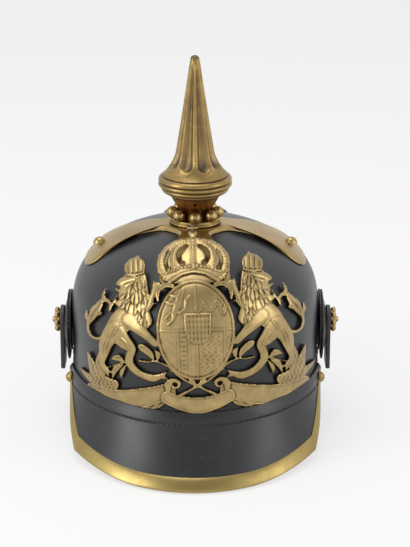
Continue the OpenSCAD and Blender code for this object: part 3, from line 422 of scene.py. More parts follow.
def edge_lift(turn):
    """Height of the visor's edge over the table, which rises towards the corners."""
    out = np.abs((visor_oval - trim_sheet) * np.sin(turn)) - flat_half_width
    rise = (np.maximum(out, 0) / (visor_corner - flat_half_width)) ** 1.5
    return trim_sheet + visor_leather + corner_lift * rise


def foot_point(turn):
    """Points of the lower edge of the visor and the neck guard."""
    behind = edge_lift(np.full_like(turn, math.pi / 2))
    behind = behind + (guard_foot - behind) * eased(-np.cos(turn))
    height = np.where(np.cos(turn) > 0, edge_lift(turn), behind)
    across = (oval_half_width(turn) - trim_sheet) * np.sin(turn)
    return np.stack((across, -(reach - trim_sheet) * np.cos(turn), height), axis=-1)


def slope_length(turn):
    """Length of the slope from the seam to the lower edge."""
    return np.linalg.norm(foot_point(turn) - skull_at(turn, rim_z, visor_step), axis=-1)


def slope_point(turn, run, depth=0.0):
    """Points of the slope of visor and neck guard: their run from the seam, depth above the upper face."""
    rim = skull_at(turn, rim_z, visor_step)
    fall = foot_point(turn) - rim
    share = run / slope_length(turn)
    along = np.stack(np.broadcast_arrays(
        skull_half_width * np.cos(turn), skull_half_length * np.sin(turn), 0 * turn), axis=-1)
    normal = np.cross(fall, along)
    normal /= np.linalg.norm(normal, axis=-1, keepdims=True)
    sag = visor_sag * np.sin(math.pi * np.clip(share, 0, 1))
    return rim + fall * share[..., None] + normal * (depth - sag)[..., None]


def rounded(start, bend, end, count=6):
    """Rows of points that lead from one row to another, round a bend."""
    share = np.linspace(0, 1, count)[None, :, None]
    return start * (1 - share) ** 2 + bend * 2 * share * (1 - share) + end * share ** 2


corner_turn = math.asin(visor_corner / visor_oval)
stud_place_y = -24 * MM
stud_place_z = 38 * MM
corner_y = -(reach - trim_sheet) * math.cos(corner_turn)
corner_z = float(edge_lift(np.array(corner_turn)))
side_rake = (stud_place_y - corner_y) / (stud_place_z - corner_z)


def side_line(turn, inset=0.0):
    """Distance from the seam to the visor's side cut, or to a line drawn in from it, wherever it runs."""
    def over(place):
        return place[..., 1] - corner_y - side_rake * (place[..., 2] - corner_z) + inset
    top = over(skull_at(turn, rim_z, visor_step))
    return slope_length(turn) * top / (top - over(foot_point(turn)))


def side_run(turn):
    """Distance from the seam to the visor's edge."""
    cut_back = np.minimum(slope_length(turn), side_line(turn))
    return np.where(np.abs(turn) <= corner_turn, slope_length(turn), cut_back)


def guard_run(turn):
    """Distance from the seam to the neck guard's edge."""
    share = np.abs(math.pi - turn) / guard_half_turn
    return slope_length(turn) * (1 - guard_narrowing * share ** 2.2)


def flange_run(turn):
    """Width of the flange, which is cut back where the visor and the guard grow narrow."""
    covered = np.where(np.cos(turn) > 0, np.minimum(slope_length(turn), side_line(turn)), guard_run(turn))
    return np.clip(covered - flange_margin, least_flange, flange_width)


def bend_height(turn, depth, grown):
    """Height at which the flange, this far over the slope, meets the skull's wall."""
    fall = foot_point(turn) - skull_at(turn, rim_z, visor_step)
    run = fall / np.linalg.norm(fall, axis=-1, keepdims=True)
    normal = (slope_point(turn, 0 * turn, 0 * turn + MM) - slope_point(turn, 0 * turn, 0 * turn)) / MM
    gap = visor_step - grown + depth * np.hypot(normal[..., 0], normal[..., 1])
    rise = depth * normal[..., 2] - run[..., 2] * gap / np.hypot(run[..., 0], run[..., 1])
    return rim_z + np.minimum(highest_bend, rise)


def skull_face(inside):
    """Rows of points of the skull's face from the flange's edge to the air hole."""
    grown = -skull_leather if inside else 0.0
    depth = -visor_leather - 0.1 * MM - (flange_leather if inside else 0)
    widest = flange_run(skull_turns)
    runs = widest + (-welt_overhang - widest) * np.linspace(0, 1, 6)[None, :]
    flange = slope_point(skull_turns, runs, np.full_like(runs, depth))
    bend_z = bend_height(skull_turns, depth, grown)
    bend = skull_at(skull_turns, bend_z, grown)
    foot = skull_at(skull_turns, bend_z + fillet, grown)
    rounding = rounded(flange[:, -1:], bend, foot)[:, 1:]
    shares = np.linspace(0, 1, 60)[None, :]
    lowest = (bend_z + fillet + 0.8 * MM - rim_z) / (widest_z - rim_z) * wall_share
    dome = skull_point(skull_turns, lowest + (0.93 - lowest) * shares, grown)
    hole_x = air_hole_r * np.sin(skull_turns)
    hole_y = -air_hole_r * np.cos(skull_turns)
    hole = np.stack((hole_x, hole_y, dome_z(hole_x, hole_y, grown)), axis=-1)
    return np.concatenate([flange, rounding, dome, hole], axis=1)


skull = woven("skull_leather", walled(skull_face(False), skull_face(True)))
uneven(skull, hide_unevenness, 26 * MM, lambda p: eased((p.z - rim_z - 4 * MM) / (12 * MM)))
smooth(skull, 60)
fit(skull, "helmet", black_leather, "black_leather", "skull")


# Visor
# The front visor is one flat piece of cowhide, stretched to a slope and cut square at its corners. It is
# sewn through the skull's flange by a row of small stitches, in a channel pressed into the leather.
stitch_run = 7.9 * MM
channel_depth = 0.34 * MM
visor_ends = math.radians(80)
bare_below = 34 * MM


def channelled(run):
    """Height of the leather along the slope: its rounded top edge, the welt and the stitches' channel."""
    edge = -0.9 * MM * np.clip(1 - (run + welt_overhang) / (1.2 * MM), 0, 1) ** 2.2
    welt = 0.3 * MM * np.exp(-((run - 3.6 * MM) / (2.6 * MM)) ** 2)
    channel = -channel_depth * np.exp(-((run - stitch_run) / (0.55 * MM)) ** 2)
    shoulder = 0.14 * MM * np.exp(-((run - 9.6 * MM) / (1.2 * MM)) ** 2)
    return edge + welt + channel + shoulder


def flap(name, turns, lengths, edge_round):
    """A leather flap sewn to the skull's flange, with a channel for its stitches and a rounded lower edge."""
    near = np.concatenate([
        np.linspace(-welt_overhang, 0, 6), np.linspace(0, 6.6 * MM, 9)[1:],
        np.linspace(6.6 * MM, 9.2 * MM, 14)[1:], np.array([10.2, 11.4, 13]) * MM])[None, :]
    far = np.linspace(0, 1, 26)[None, 1:]
    lengths = lengths[:, None]
    turns = turns[:, None]
    start = np.minimum(near, lengths)
    rest = np.maximum(near[:, -1:], 0) + (lengths - near[:, -1:]) * far
    rest = np.where(lengths > near[:, -1:], rest, lengths)
    runs = np.concatenate([start, rest], axis=1)
    rounding = edge_round * np.clip(1 - (lengths - runs) / edge_round, 0, 1) ** 2 * 0.6
    top = slope_point(turns, runs, channelled(runs) - rounding)
    below = slope_point(turns, runs, -visor_leather + 0 * runs)
    return woven(name, walled(top, below), ring=False)


def turns_between(first, last, step, *crisp):
    """Angles from first to last, among them the ones where an edge must stay crisp."""
    even = np.linspace(first, last, int(round((last - first) / step)) + 1)
    kept = [turn for turn in even if all(abs(turn - sharp) > step * 0.4 for sharp in crisp)]
    return np.array(sorted(kept + list(crisp)))


visor_turns = turns_between(-visor_ends, visor_ends, math.radians(0.8), -corner_turn, corner_turn)
visor = flap("front_visor_leather", visor_turns, side_run(visor_turns), 0.2 * MM)
uneven(visor, 0.22 * MM, 20 * MM,
       lambda p: eased((bare_below - p.z) / (10 * MM)) * eased((p.z - 4 * MM) / (6 * MM)))
smooth(visor, 50)
fit(visor, "helmet", black_leather, "black_leather", "front_visor")


# Neck guard
# The neck guard is cut and sewn like the visor. Its free edge is rounded and burnished, and it runs up to
# the strap ends at both sides.
guard_spread = math.radians(83.2)
guard_turns = turns_between(math.pi - guard_spread, math.pi + guard_spread, math.radians(1.2))
guard = flap("neck_guard_leather", guard_turns, guard_run(guard_turns), 1.4 * MM)
uneven(guard, 0.2 * MM, 24 * MM, lambda p: eased((bare_below - p.z) / (10 * MM)))
smooth(guard, 50)
fit(guard, "helmet", black_leather, "black_leather", "neck_guard")


# Linings of the visor and the neck guard
# Both flaps are lined below with thin dyed leather, green in front and red behind, pasted on and trimmed
# short of the edges.
lining_leather = 0.6 * MM
lining_gap = 0.2 * MM
lining_foot_share = 0.97
lined_share = 0.4


def lining(name, turns, lengths, material, slot, node):
    """A thin leather lining that follows a flap from below."""
    runs = np.linspace(0 * lengths + flange_width + MM, lining_foot_share * lengths, 16, axis=1)
    turns = turns[:, None]
    face = -visor_leather - lining_gap
    top = slope_point(turns, runs, face + 0 * runs)
    below = slope_point(turns, runs, face - lining_leather + 0 * runs)
    piece = woven(name, walled(top, below), ring=False)
    smooth(piece, 50)
    fit(piece, "helmet", material, slot, node)


green_leather = hide_material("green_leather", (0.035, 0.06, 0.03, 1), (0.055, 0.09, 0.045, 1),
                              (0.12, 0.14, 0.09, 1), 0.42, 0.6, 0.9 * MM, 0.03 * MM, 0.4)
red_leather = hide_material("red_leather", (0.13, 0.018, 0.014, 1), (0.19, 0.03, 0.022, 1),
                            (0.25, 0.09, 0.07, 1), 0.42, 0.6, 0.9 * MM, 0.03 * MM, 0.4)
lined = visor_turns[side_run(visor_turns) > lined_share * slope_length(visor_turns)]
lining("front_visor_lining_leather", lined, side_run(lined),
       green_leather, "green_leather", "front_visor_lining")
lined = guard_turns[guard_run(guard_turns) > lined_share * slope_length(guard_turns)]
lining("neck_guard_lining_leather", lined, guard_run(lined),
       red_leather, "red_leather", "neck_guard_lining")


# Stitches
# Waxed black thread, sewn as a close row of lock stitches. Each stitch is a short plump bar that sinks into
# its channel at both ends.
stitch_pitch = 3.6 * MM
stitched_half_turn = math.radians(69.3)
guard_first_stitch = math.radians(106)
spine_width = 11 * MM
stitch_length = 2.7 * MM
thread_r = 0.55 * MM

black_thread = speckled("black_thread", 2600.0, 2.0,
                        (0.008, 0.008, 0.009, 1), (0.03, 0.03, 0.032, 1), 0.62)[0]


def joined(name, pieces):
    """Several pieces made into one."""
    bpy.ops.object.select_all(action="DESELECT")
    for piece in pieces:
        piece.select_set(True)
    bpy.context.view_layer.objects.active = pieces[0]
    if len(pieces) > 1:
        bpy.ops.object.join()
    pieces[0].name = name
    return pieces[0]


def copied(model, places):
    """Copies of a model at each of these places, in place of the model itself."""
    copies = []
    for place in places:
        copy = model.copy()
        copy.data = model.data.copy()
        copy.data.transform(place)
        bpy.context.scene.collection.objects.link(copy)
        copies.append(copy)
    bpy.data.objects.remove(model)
    return copies


def frame_at(origin, along, outward):
    """A place whose x axis runs along a line and whose z axis points outward."""
    x = Vector(along).normalized()
    z = Vector(outward)
    z = (z - z.dot(x) * x).normalized()
    y = z.cross(x)
    turned_frame = Matrix((x, y, z)).transposed().to_4x4()
    return Matrix.Translation(Vector(origin)) @ turned_frame


def open_leather(place):
    """Whether a stitch here shows: it stops short of the trim in front and of the spine behind."""
    return abs(place[0]) > spine_width / 2 + stitch_pitch if place[1] > 0 else True


def stitch_row(name, first, last, node):
    """A row of stitches in the channel, from one angle to another."""
    fine = np.linspace(first, last, 1200)
    line = slope_point(fine, np.full_like(fine, stitch_run), np.full_like(fine, -channel_depth * 0.55))
    lifted = slope_point(fine, np.full_like(fine, stitch_run), np.full_like(fine, MM))
    gone = np.concatenate([[0], np.cumsum(np.linalg.norm(np.diff(line, axis=0), axis=1))])
    count = int(gone[-1] / stitch_pitch)
    stitch = added(bpy.ops.mesh.primitive_uv_sphere_add, segments=8, ring_count=5, radius=thread_r)
    for point in stitch.data.vertices:
        point.co.x *= stitch_length / 2 / thread_r
    places = []

    def at_stitch(rows, number):
        return np.array([np.interp(number * stitch_pitch, gone, rows[:, k]) for k in range(3)])

    for i in range(count):
        here = at_stitch(line, i + 0.5)
        ahead = at_stitch(line, i + 0.6)
        above = at_stitch(lifted, i + 0.5)
        if open_leather(here):
            places.append(frame_at(here, ahead - here, above - here))
    row = joined(name, copied(stitch, places))
    smooth(row, 60)
    fit(row, "helmet", black_thread, "black_thread", node)


stitch_row("visor_stitches", -stitched_half_turn, stitched_half_turn, "visor_stitching")
stitch_row("neck_guard_stitches", guard_first_stitch, math.tau - guard_first_stitch, "neck_guard_stitching")


# Brass trim of the visor
# A strip of sheet brass, folded over the visor's cut edge and mitred at its corners. Its side strips run up
# to the studs that pin them.
trim_width = 9.5 * MM
side_trim_width = 5 * MM
trim_crown = 0.35 * MM
trim_gap = 0.1 * MM
under_share = 0.75


def patina_group():
    """Tarnish of old brass: cloudy patches, fine pitting, hairline scratches, and dirt in the hollows together
    with any painted sheen marked there.
    """
    group, given, result = new_group(
        "old_brass",
        [("Cloud Size", "NodeSocketFloat"), ("Hollow", "NodeSocketFloat")],
        [("Cloud", "NodeSocketFloat"), ("Speck", "NodeSocketFloat"), ("Dirt And Sheen", "NodeSocketFloat"),
         ("Height", "NodeSocketFloat")],
    )
    place = add_node(group, "ShaderNodeTexCoord").outputs["Object"]
    coarse = maths(group, "DIVIDE", 1.0, given.outputs["Cloud Size"])
    cloud = add_node(group, "ShaderNodeTexNoise",
                     {"Vector": place, "Scale": coarse, "Detail": 7.0, "Roughness": 0.6, "Distortion": 0.6})
    cloud_there = add_node(group, "ShaderNodeMapRange",
                           {"Value": cloud.outputs[0], "From Min": 0.3, "From Max": 0.7})
    specks = add_node(group, "ShaderNodeTexNoise", {"Vector": place, "Scale": 900.0, "Detail": 5.0})
    speck_there = add_node(group, "ShaderNodeMapRange",
                           {"Value": specks.outputs[0], "From Min": 0.6, "From Max": 0.74})
    drawn_out = add_node(group, "ShaderNodeMapping",
                         {"Vector": place, "Scale": (1500.0, 260.0, 260.0), "Rotation": (0.3, 0.5, 0.9)})
    hairs = add_node(group, "ShaderNodeTexNoise",
                     {"Vector": drawn_out.outputs[0], "Scale": 1.0, "Detail": 3.0})
    dirt = maths(group, "MULTIPLY", given.outputs["Hollow"],
                 maths(group, "ADD", cloud_there.outputs[0], 0.55), True)
    height = maths(group, "ADD", maths(group, "MULTIPLY", specks.outputs[0], 0.6),
                   maths(group, "MULTIPLY", hairs.outputs[0], 0.4))
    group.links.new(cloud_there.outputs[0], result.inputs["Cloud"])
    group.links.new(speck_there.outputs[0], result.inputs["Speck"])
    group.links.new(dirt, result.inputs["Dirt And Sheen"])
    group.links.new(height, result.inputs["Height"])
    return group


old_brass = patina_group()


def brass_material(name, bright, dull, dirt, gloss, rough, cloud_size, hollow=None):
    """Aged brass or copper alloy: bright metal, duller tarnished clouds and dark dirt in its hollows, with
    painted sheen where the spike's marks put it.
    """
    material, tree, shader = surface(name)
    patina = add_node(tree, "ShaderNodeGroup", node_tree=old_brass)
    patina.inputs["Cloud Size"].default_value = cloud_size
    patina.inputs["Hollow"].default_value = 0.0
    if hollow:
        depth = add_node(tree, "ShaderNodeAttribute", attribute_name=hollow)
        tree.links.new(depth.outputs["Fac"], patina.inputs["Hollow"])
    colour = mixed_colour(tree, patina.outputs["Cloud"], bright, dull)
    colour = mixed_colour(tree, maths(tree, "MULTIPLY", patina.outputs["Speck"], 0.35), colour, dirt)
    colour = mixed_colour(tree, patina.outputs["Dirt And Sheen"], colour, dirt)
    tree.links.new(colour, shader.inputs["Base Color"])
    shader.inputs["Metallic"].default_value = 1.0
    dulled = maths(tree, "ADD", maths(tree, "MULTIPLY", patina.outputs["Cloud"], 0.6),
                   maths(tree, "MULTIPLY", patina.outputs["Dirt And Sheen"], 0.6), True)
    roughness = add_node(tree, "ShaderNodeMapRange", {"Value": dulled, "To Min": gloss, "To Max": rough})
    tree.links.new(roughness.outputs[0], shader.inputs["Roughness"])
    bumped(tree, shader, patina.outputs["Height"], 0.02 * MM)
    return material


trim_brass = brass_material("trim_brass", (0.4, 0.3, 0.115, 1), (0.3, 0.22, 0.078, 1), (0.10, 0.06, 0.02, 1),
                            0.3, 0.46, 22 * MM)
trim_turns = turns_between(-visor_ends, visor_ends, math.radians(0.7), -corner_turn, corner_turn)
trim_outer = side_run(trim_turns)[:, None]
trim_inner = np.minimum(slope_length(trim_turns) - trim_width,
                        side_line(trim_turns, side_trim_width * math.hypot(1, side_rake)))
trim_inner = np.maximum(trim_inner, 0.4 * MM)[:, None]


def trim_face(sheet):
    """Rows of points of the trim's outer or inner face, from its upper lip to its lower one."""
    turns = trim_turns[:, None]
    share = np.linspace(0, 1, 9)[None, :]
    over = trim_inner + (trim_outer - trim_inner) * share
    lip = -0.3 * sheet * np.clip(1 - share * 12, 0, 1)
    top = slope_point(turns, over, trim_gap + sheet + lip + trim_crown * 4 * share * (1 - share))
    low = -visor_leather - lining_gap - lining_leather - trim_gap
    sweep = np.linspace(0, math.pi, 9)[None, 1:-1]
    middle = (low + trim_gap) / 2
    half = (trim_gap - low) / 2 + sheet
    edge = slope_point(turns, trim_outer + 0.1 * MM + sheet * np.sin(sweep), middle + half * np.cos(sweep))
    under = np.linspace(0, under_share, 5)[None, :]
    runs = trim_outer + (trim_inner - trim_outer) * under
    deeper = -visor_leather - flange_leather - 3 * trim_gap
    low = low + (deeper - low) * eased((flange_width + 4 * MM - runs) / (3 * MM))
    below = slope_point(turns, runs, low - sheet)
    rows = np.concatenate([top, edge, below], axis=1)
    rows[..., 2] = np.maximum(rows[..., 2], 0.02 * MM if sheet else 0.3 * MM)
    return rows


trim = woven("visor_trim_brass", walled(trim_face(trim_sheet), trim_face(0.0)), ring=False)
smooth(trim, 42)
fit(trim, "helmet", trim_brass, "brass", "visor_trim")


# Studs of the trim
# Small domed brass studs, each with a shank through the trim and the leather, riveted on a washer inside.
trim_stud_r = 3.9 * MM
trim_stud_turn = math.radians(75.5)
trim_stud_share = 0.16
trim_stud_seat = 1 * MM


def turned(name, profile, segments=96):
    """A piece turned round the z axis. Its profile is closed, or it starts and ends on the axis."""
    piece = added(bpy.ops.mesh.primitive_plane_add, size=MM)
    piece.name = name
    bpy.ops.object.mode_set(mode="EDIT")
    bpy.ops.mesh.merge(type="CENTER")
    bpy.ops.transform.translate(value=(profile[0][0], 0, profile[0][1]))
    for (r, z), (next_r, next_z) in zip(profile, profile[1:]):
        bpy.ops.mesh.extrude_region_move(TRANSFORM_OT_translate={"value": (next_r - r, 0, next_z - z)})
    bpy.ops.mesh.select_all(action="SELECT")
    bpy.ops.mesh.spin(steps=segments, angle=math.tau, center=(0, 0, 0), axis=(0, 0, 1))
    bpy.ops.object.mode_set(mode="OBJECT")
    tidy_mesh(piece)
    return piece


def arc(centre_r, centre_z, radius, first, last, count=8):
    """Points of a rounded moulding, as radius and height. Angles are in degrees from outward, upward."""
    turns = np.radians(np.linspace(first, last, count))
    return [(centre_r + radius * math.cos(turn), centre_z + radius * math.sin(turn)) for turn in turns]


def domed_stud(name, radius, height, shank_r, shank_length, place):
    """A domed stud with a small flat rim and a shank, put in its place."""
    ball = (radius ** 2 + height ** 2) / (2 * height)
    foot = math.degrees(math.asin((ball - height) / ball))
    profile = [(0, -shank_length), (shank_r, -shank_length), (shank_r, 0), (radius - 0.1 * MM, 0),
               (radius, 0.15 * MM)]
    profile += arc(0, height - ball, ball, foot + 4, 90, 12)
    profile[-1] = (0, height)
    stud = turned(name, profile, 40)
    stud.data.transform(place)
    smooth(stud, 40)
    return stud


studs = []
for side in (-1, 1):
    stud_turn = np.array(side * trim_stud_turn)
    length = float(slope_length(stud_turn))
    base, above, further = (
        slope_point(stud_turn, np.array(trim_stud_share * length + run), np.array(trim_stud_seat + rise))
        for run, rise in ((0, 0), (0, MM), (MM, 0)))
    studs.append(domed_stud("trim_stud", trim_stud_r, trim_stud_r * 0.8, MM, 6.2 * MM,
                            frame_at(base, further - base, above - base)))
fit(joined("trim_studs_brass", studs), "helmet", trim_brass, "brass", "trim_studs")


# Rear spine
# A brass strip over the back seam, from the base's rear arm to a foot that hooks under the neck guard. One
# screw with a slotted head holds it to the skull.
spine_top_share = 0.62
spine_wall_share = 0.035
spine_gap = 0.4 * MM
spine_hook = 9 * MM
spine_screw_z = 88 * MM
base_brass = brass_material("base_brass", (0.47, 0.34, 0.145, 1), (0.32, 0.22, 0.09, 1),
                            (0.10, 0.055, 0.02, 1), 0.27, 0.44, 34 * MM)


def spine_line(depth):
    """The spine's run over the back, from its top to the neck guard's edge, this far above the leather."""
    behind = np.array([[math.pi]])
    shares = np.linspace(spine_top_share, spine_wall_share, 34)[None, :]
    wall = skull_point(behind, shares, depth)[0]
    slope = slope_point(behind, np.linspace(0, 0.9, 15)[None, :] * slope_length(behind),
                        np.full((1, 15), depth))[0]
    return np.concatenate([wall, slope])


def spine_section(x):
    """The closed outline of the spine at a distance from its middle line."""
    crown = 0.35 * MM * (1 - (x / (spine_width / 2)) ** 2)
    inner = reach - trim_sheet + 0.05 * MM
    hook = np.array([[0, reach, 3 * MM], [0, reach, 0.6 * MM], [0, reach - 0.5 * MM, 0.05 * MM],
                     [0, reach - spine_hook, 0.05 * MM], [0, reach - spine_hook, trim_sheet],
                     [0, inner, trim_sheet], [0, inner, 2.8 * MM]])
    rows = np.concatenate([spine_line(spine_gap + trim_sheet + crown), hook, spine_line(spine_gap)[::-1]])
    rows[:, 0] = x
    return rows


spine_across = np.linspace(-0.5, 0.5, 11) * spine_width
spine = woven("rear_spine_brass", np.stack([spine_section(x) for x in spine_across]), ring=False)
smooth(spine, 35)
fit(spine, "helmet", base_brass, "brass", "rear_spine")


def slotted_screw(name, radius, height, shank_r, shank_length, place):
    """A round-headed screw with a slot."""
    head = domed_stud(name, radius, height, shank_r, shank_length, Matrix())
    saw = added(bpy.ops.mesh.primitive_cube_add, size=1, location=(0, 0, height))
    saw.scale = (radius * 3, radius * 0.26, height * 0.9)
    cut(head, saw)
    head.data.transform(place)
    smooth(head, 35)
    return head


def cut(piece, tool):
    """Cuts a tool's shape out of a piece, and takes the tool away."""
    only(tool)
    bpy.ops.object.transform_apply(location=True, rotation=True, scale=True)
    only(piece)
    carve = piece.modifiers.new("carve", "BOOLEAN")
    carve.operation = "DIFFERENCE"
    carve.solver = "EXACT"
    carve.object = tool
    bpy.ops.object.modifier_apply(modifier=carve.name)
    bpy.data.objects.remove(tool)


def wall_place(turn, z, out):
    """A place on the skull's wall, with its z axis square to the leather."""
    facing = math.atan2(math.sin(turn) * skull_half_length, math.cos(turn) * skull_half_width)
    outward = Vector((math.sin(facing), -math.cos(facing), 0))
    along = Vector((0, 0, 1))
    return frame_at(Vector(skull_at(np.array(turn), z)) + outward * out, along, outward)


spine_screw = slotted_screw("spine_screws_brass", 3.2 * MM, 1.4 * MM, 1.4 * MM, 5.4 * MM,
                            wall_place(math.pi, spine_screw_z, trim_sheet + spine_gap + 0.4 * MM))
fit(spine_screw, "helmet", base_brass, "brass", "spine_screws")


# Sweatband
# A band of tan sheepskin sewn round the rim on the inside. It leans in from the leather, so that the head
# touches only the band.
band_foot = rim_z - 1 * MM
band_height = 36 * MM
band_leather = 1.1 * MM
band_lean = 9 * MM
band_gap = 0.35 * MM

tan_leather = hide_material("tan_leather", (0.30, 0.15, 0.06, 1), (0.45, 0.25, 0.11, 1),
                            (0.16, 0.08, 0.035, 1), 0.5, 0.68, 1.3 * MM, 0.05 * MM, 0.8)


def band_face(depth):
    """Rows of points of the band's face, with a soft roll at its upper edge."""
    rise = np.linspace(0, 1, 14)[None, :]
    swell = 0.5 * MM * np.sin(math.pi * rise) + 0.35 * MM * np.exp(-((rise - 0.04) / 0.03) ** 2)
    back = -skull_leather - band_gap - (band_lean - skull_leather) * rise + depth - swell * (depth < 0)
    share = skull_level(band_foot + band_height * rise, back)
    x = (skull_half_width + back) * share * np.sin(skull_turns)
    y = -(skull_half_length + back) * share * np.cos(skull_turns)
    return np.stack(np.broadcast_arrays(x, y, band_foot + band_height * rise), axis=-1)


band = woven("sweatband_leather", walled(band_face(0), band_face(-band_leather)))
smooth(band, 60)
fit(band, "helmet", tan_leather, "tan_leather", "sweatband")


# Silk lining
# A strip of pale ribbed silk, cut in gores that taper upwards, sewn to the sweatband's upper edge and
# gathered in pleats round a hem that leaves an opening in the crown.
lining_pleats = 16
lining_hole_r = 15 * MM
silk_inset = 0.8 * MM
silk_thickness = 0.35 * MM

silk_cloth, silk_tree, silk_shader, _ = speckled(
    "silk_lining", 30.0, 6.0, (0.60, 0.47, 0.28, 1), (0.42, 0.31, 0.17, 1), 0.55)
silk_map = add_node(silk_tree, "ShaderNodeUVMap", uv_map="weave").outputs[0]
silk_scale = add_node(silk_tree, "ShaderNodeMapping", {"Vector": silk_map, "Scale": (900.0, 160.0, 1.0)})
silk_ribs = add_node(silk_tree, "ShaderNodeTexWave",
                     {"Vector": silk_scale.outputs[0], "Scale": 1.0, "Distortion": 0.6}, bands_direction="X")
bumped(silk_tree, silk_shader, silk_ribs.outputs[0], 0.08 * MM)
silk_shader.inputs["Sheen Weight"].default_value = 0.25

silk_turns = np.radians(np.arange(0, 360.01, 360 / (lining_pleats * 24)))[:, None]
silk_rise = np.linspace(0, 1, 34)[None, :]
latitude = np.radians(10 + 73 * silk_rise)
silk_narrow = np.cos(latitude) ** (2 / width_power)
pleat = np.cos(silk_turns * lining_pleats)
fold = 1.0 * MM * silk_rise * (pleat + 0.35 * np.cos(3 * silk_turns * lining_pleats + 1.0))
silk_out = -band_lean - silk_inset - 0.35 * MM
gather = silk_rise ** 6
silk_x = (skull_half_width + silk_out + fold) * silk_narrow * (1 - gather) + lining_hole_r * gather
silk_y = (skull_half_length + silk_out + fold) * silk_narrow * (1 - gather) + lining_hole_r * gather
silk_foot = band_foot + band_height + 0.3 * MM
silk_crown = widest_z + dome_rise + silk_out - 1.1 * MM
silk_z = silk_foot + (silk_crown - silk_foot) * np.sin(math.pi / 2 * silk_rise) ** 0.9 + fold
silk_points = np.stack((silk_x * np.sin(silk_turns), -silk_y * np.cos(silk_turns), silk_z), axis=-1)
silk = laid("silk_lining_cloth", silk_points[:, ::-1], seam=False)
weave = silk.data.uv_layers.active
weave.name = "weave"
only(silk)
edited((bpy.ops.mesh.remove_doubles, {"threshold": 0.002 * MM}))
thick = silk.modifiers.new("thickness", "SOLIDIFY")
thick.thickness = silk_thickness
thick.offset = 0
bpy.ops.object.modifier_apply(modifier=thick.name)
smooth(silk, 60)
fit(silk, "helmet", silk_cloth, "silk", "silk_lining")


# Spike base
# A cross of sheet brass, embossed so that its arms swell over the leather, with a thick rounded edge. The
# leather shows in the windows between the arms.
side_arm = 78.5 * MM
front_arm = 84 * MM
arm_outline = [(17, 17), (22, 12.5), (28, 11), (37, 10.6), (45, 12.8), (53, 17),
               (61, 22), (67, 24.2), (72.5, 23), (76.5, 17), (78.2, 9)]
arm_straight = 28 * MM
base_sheet = 0.9 * MM
base_edge = 1.1 * MM
base_swell = 2 * MM
base_rise = 0.2 * MM
base_dip = 0.95 * MM
base_opening_r = 14 * MM


def quarter_outline(quarter):
    """Outline of one arm of the cross, as points on the ground."""
    length = side_arm if quarter % 2 else front_arm
    half = []
    for out, wide in arm_outline:
        out = out * MM
        if out > arm_straight:
            out = arm_straight + (out - arm_straight) * (length - arm_straight) / (side_arm - arm_straight)
        half.append((out, wide * MM))
    outline = [(out, -wide) for out, wide in half] + [(length, 0)] + half[:0:-1]
    turn = math.pi / 2 * quarter
    return [(out * math.sin(turn) + wide * math.cos(turn), -out * math.cos(turn) + wide * math.sin(turn))
            for out, wide in outline]


def flowing(points, steps, closed=False):
    """A smooth line through points. Each may carry more values, such as a radius."""
    points = np.asarray(points, float)
    if closed:
        padded = np.concatenate([points[-1:], points, points[:2]])
    else:
        padded = np.concatenate([2 * points[:1] - points[1:2], points, 2 * points[-1:] - points[-2:-1]])
    line = []
    for i in range(len(padded) - 3):
        p0, p1, p2, p3 = padded[i:i + 4]
        for t in np.arange(steps) / steps:
            line.append(0.5 * (2 * p1 + (p2 - p0) * t + (2 * p0 - 5 * p1 + 4 * p2 - p3) * t * t
                               + (3 * p1 - p0 - 3 * p2 + p3) * t ** 3))
    if not closed:
        line.append(points[-1])
    return np.array(line)


base_line = flowing([point for quarter in range(4) for point in quarter_outline(quarter)], 5, closed=True)


def base_face(share, sink=0.0, beyond=0.0):
    """Points of the base's face, at a share of the way from its opening to its edge."""
    edge = base_line[:, None, :]
    reach_out = np.linalg.norm(edge, axis=-1, keepdims=True)
    unit = edge / reach_out
    flat = unit * base_opening_r * (1 - share[..., None]) + edge * share[..., None] + unit * beyond
    r = np.linalg.norm(flat, axis=-1)
    rise = base_rise * (1 - eased((r - 20 * MM) / (34 * MM)))
    rise = rise - base_dip * (1 - eased((r - 16 * MM) / (9 * MM)))
    grown = base_edge + base_swell * (1 - share ** 6) + rise
    x, y = flat[..., 0], flat[..., 1]
    return np.stack((x, y, dome_z(x, y, grown) + sink), axis=-1)


ones = np.ones((len(base_line), 1))
shares = np.concatenate([np.linspace(0, 0.9, 20), [0.93, 0.96, 0.985]])[None, :] * ones
lip = [base_face(ones, sink * MM, beyond * MM)
       for sink, beyond in ((0, -0.25), (-0.2, 0.12), (-0.55, 0.2), (-0.85, 0.02))]
upper = base_face(shares)
under = base_face(np.concatenate([np.linspace(0, 0.9, 8), [0.97]])[None, :] * ones, -base_sheet)
base = woven("spike_base_brass", np.concatenate([upper, *lip, under[:, ::-1]], axis=1))
uneven(base, 0.09 * MM, 16 * MM)
smooth(base, 50)
fit(base, "helmet", base_brass, "brass", "spike_base")


# Studs of the base
# Tall domed brass studs with a split shank, which goes through the base and the leather to a nut inside.
base_stud_r = 4.6 * MM
base_shank_r = 1.5 * MM
arm_fall = 0.067
base_stud_places = [(66.6 * MM, 0), (-66.6 * MM, 0), (0, 72 * MM)]


def dome_place(x, y, out):
    """A place on the dome, with its z axis square to the leather."""
    step = 0.5 * MM
    along = Vector((x, y, 0)).normalized()
    up = Vector((dome_z(x - step, y) - dome_z(x + step, y), dome_z(x, y - step) - dome_z(x, y + step),
                 2 * step)).normalized() + along * arm_fall
    return frame_at(Vector((x, y, float(dome_z(x, y)))) + up * out, along, up)


studs = [domed_stud("base_stud", base_stud_r, base_stud_r * 0.95, base_shank_r, 7.5 * MM,
                    dome_place(x, y, 2.6 * MM)) for x, y in base_stud_places]
fit(joined("base_studs_brass", studs), "helmet", base_brass, "brass", "base_studs")


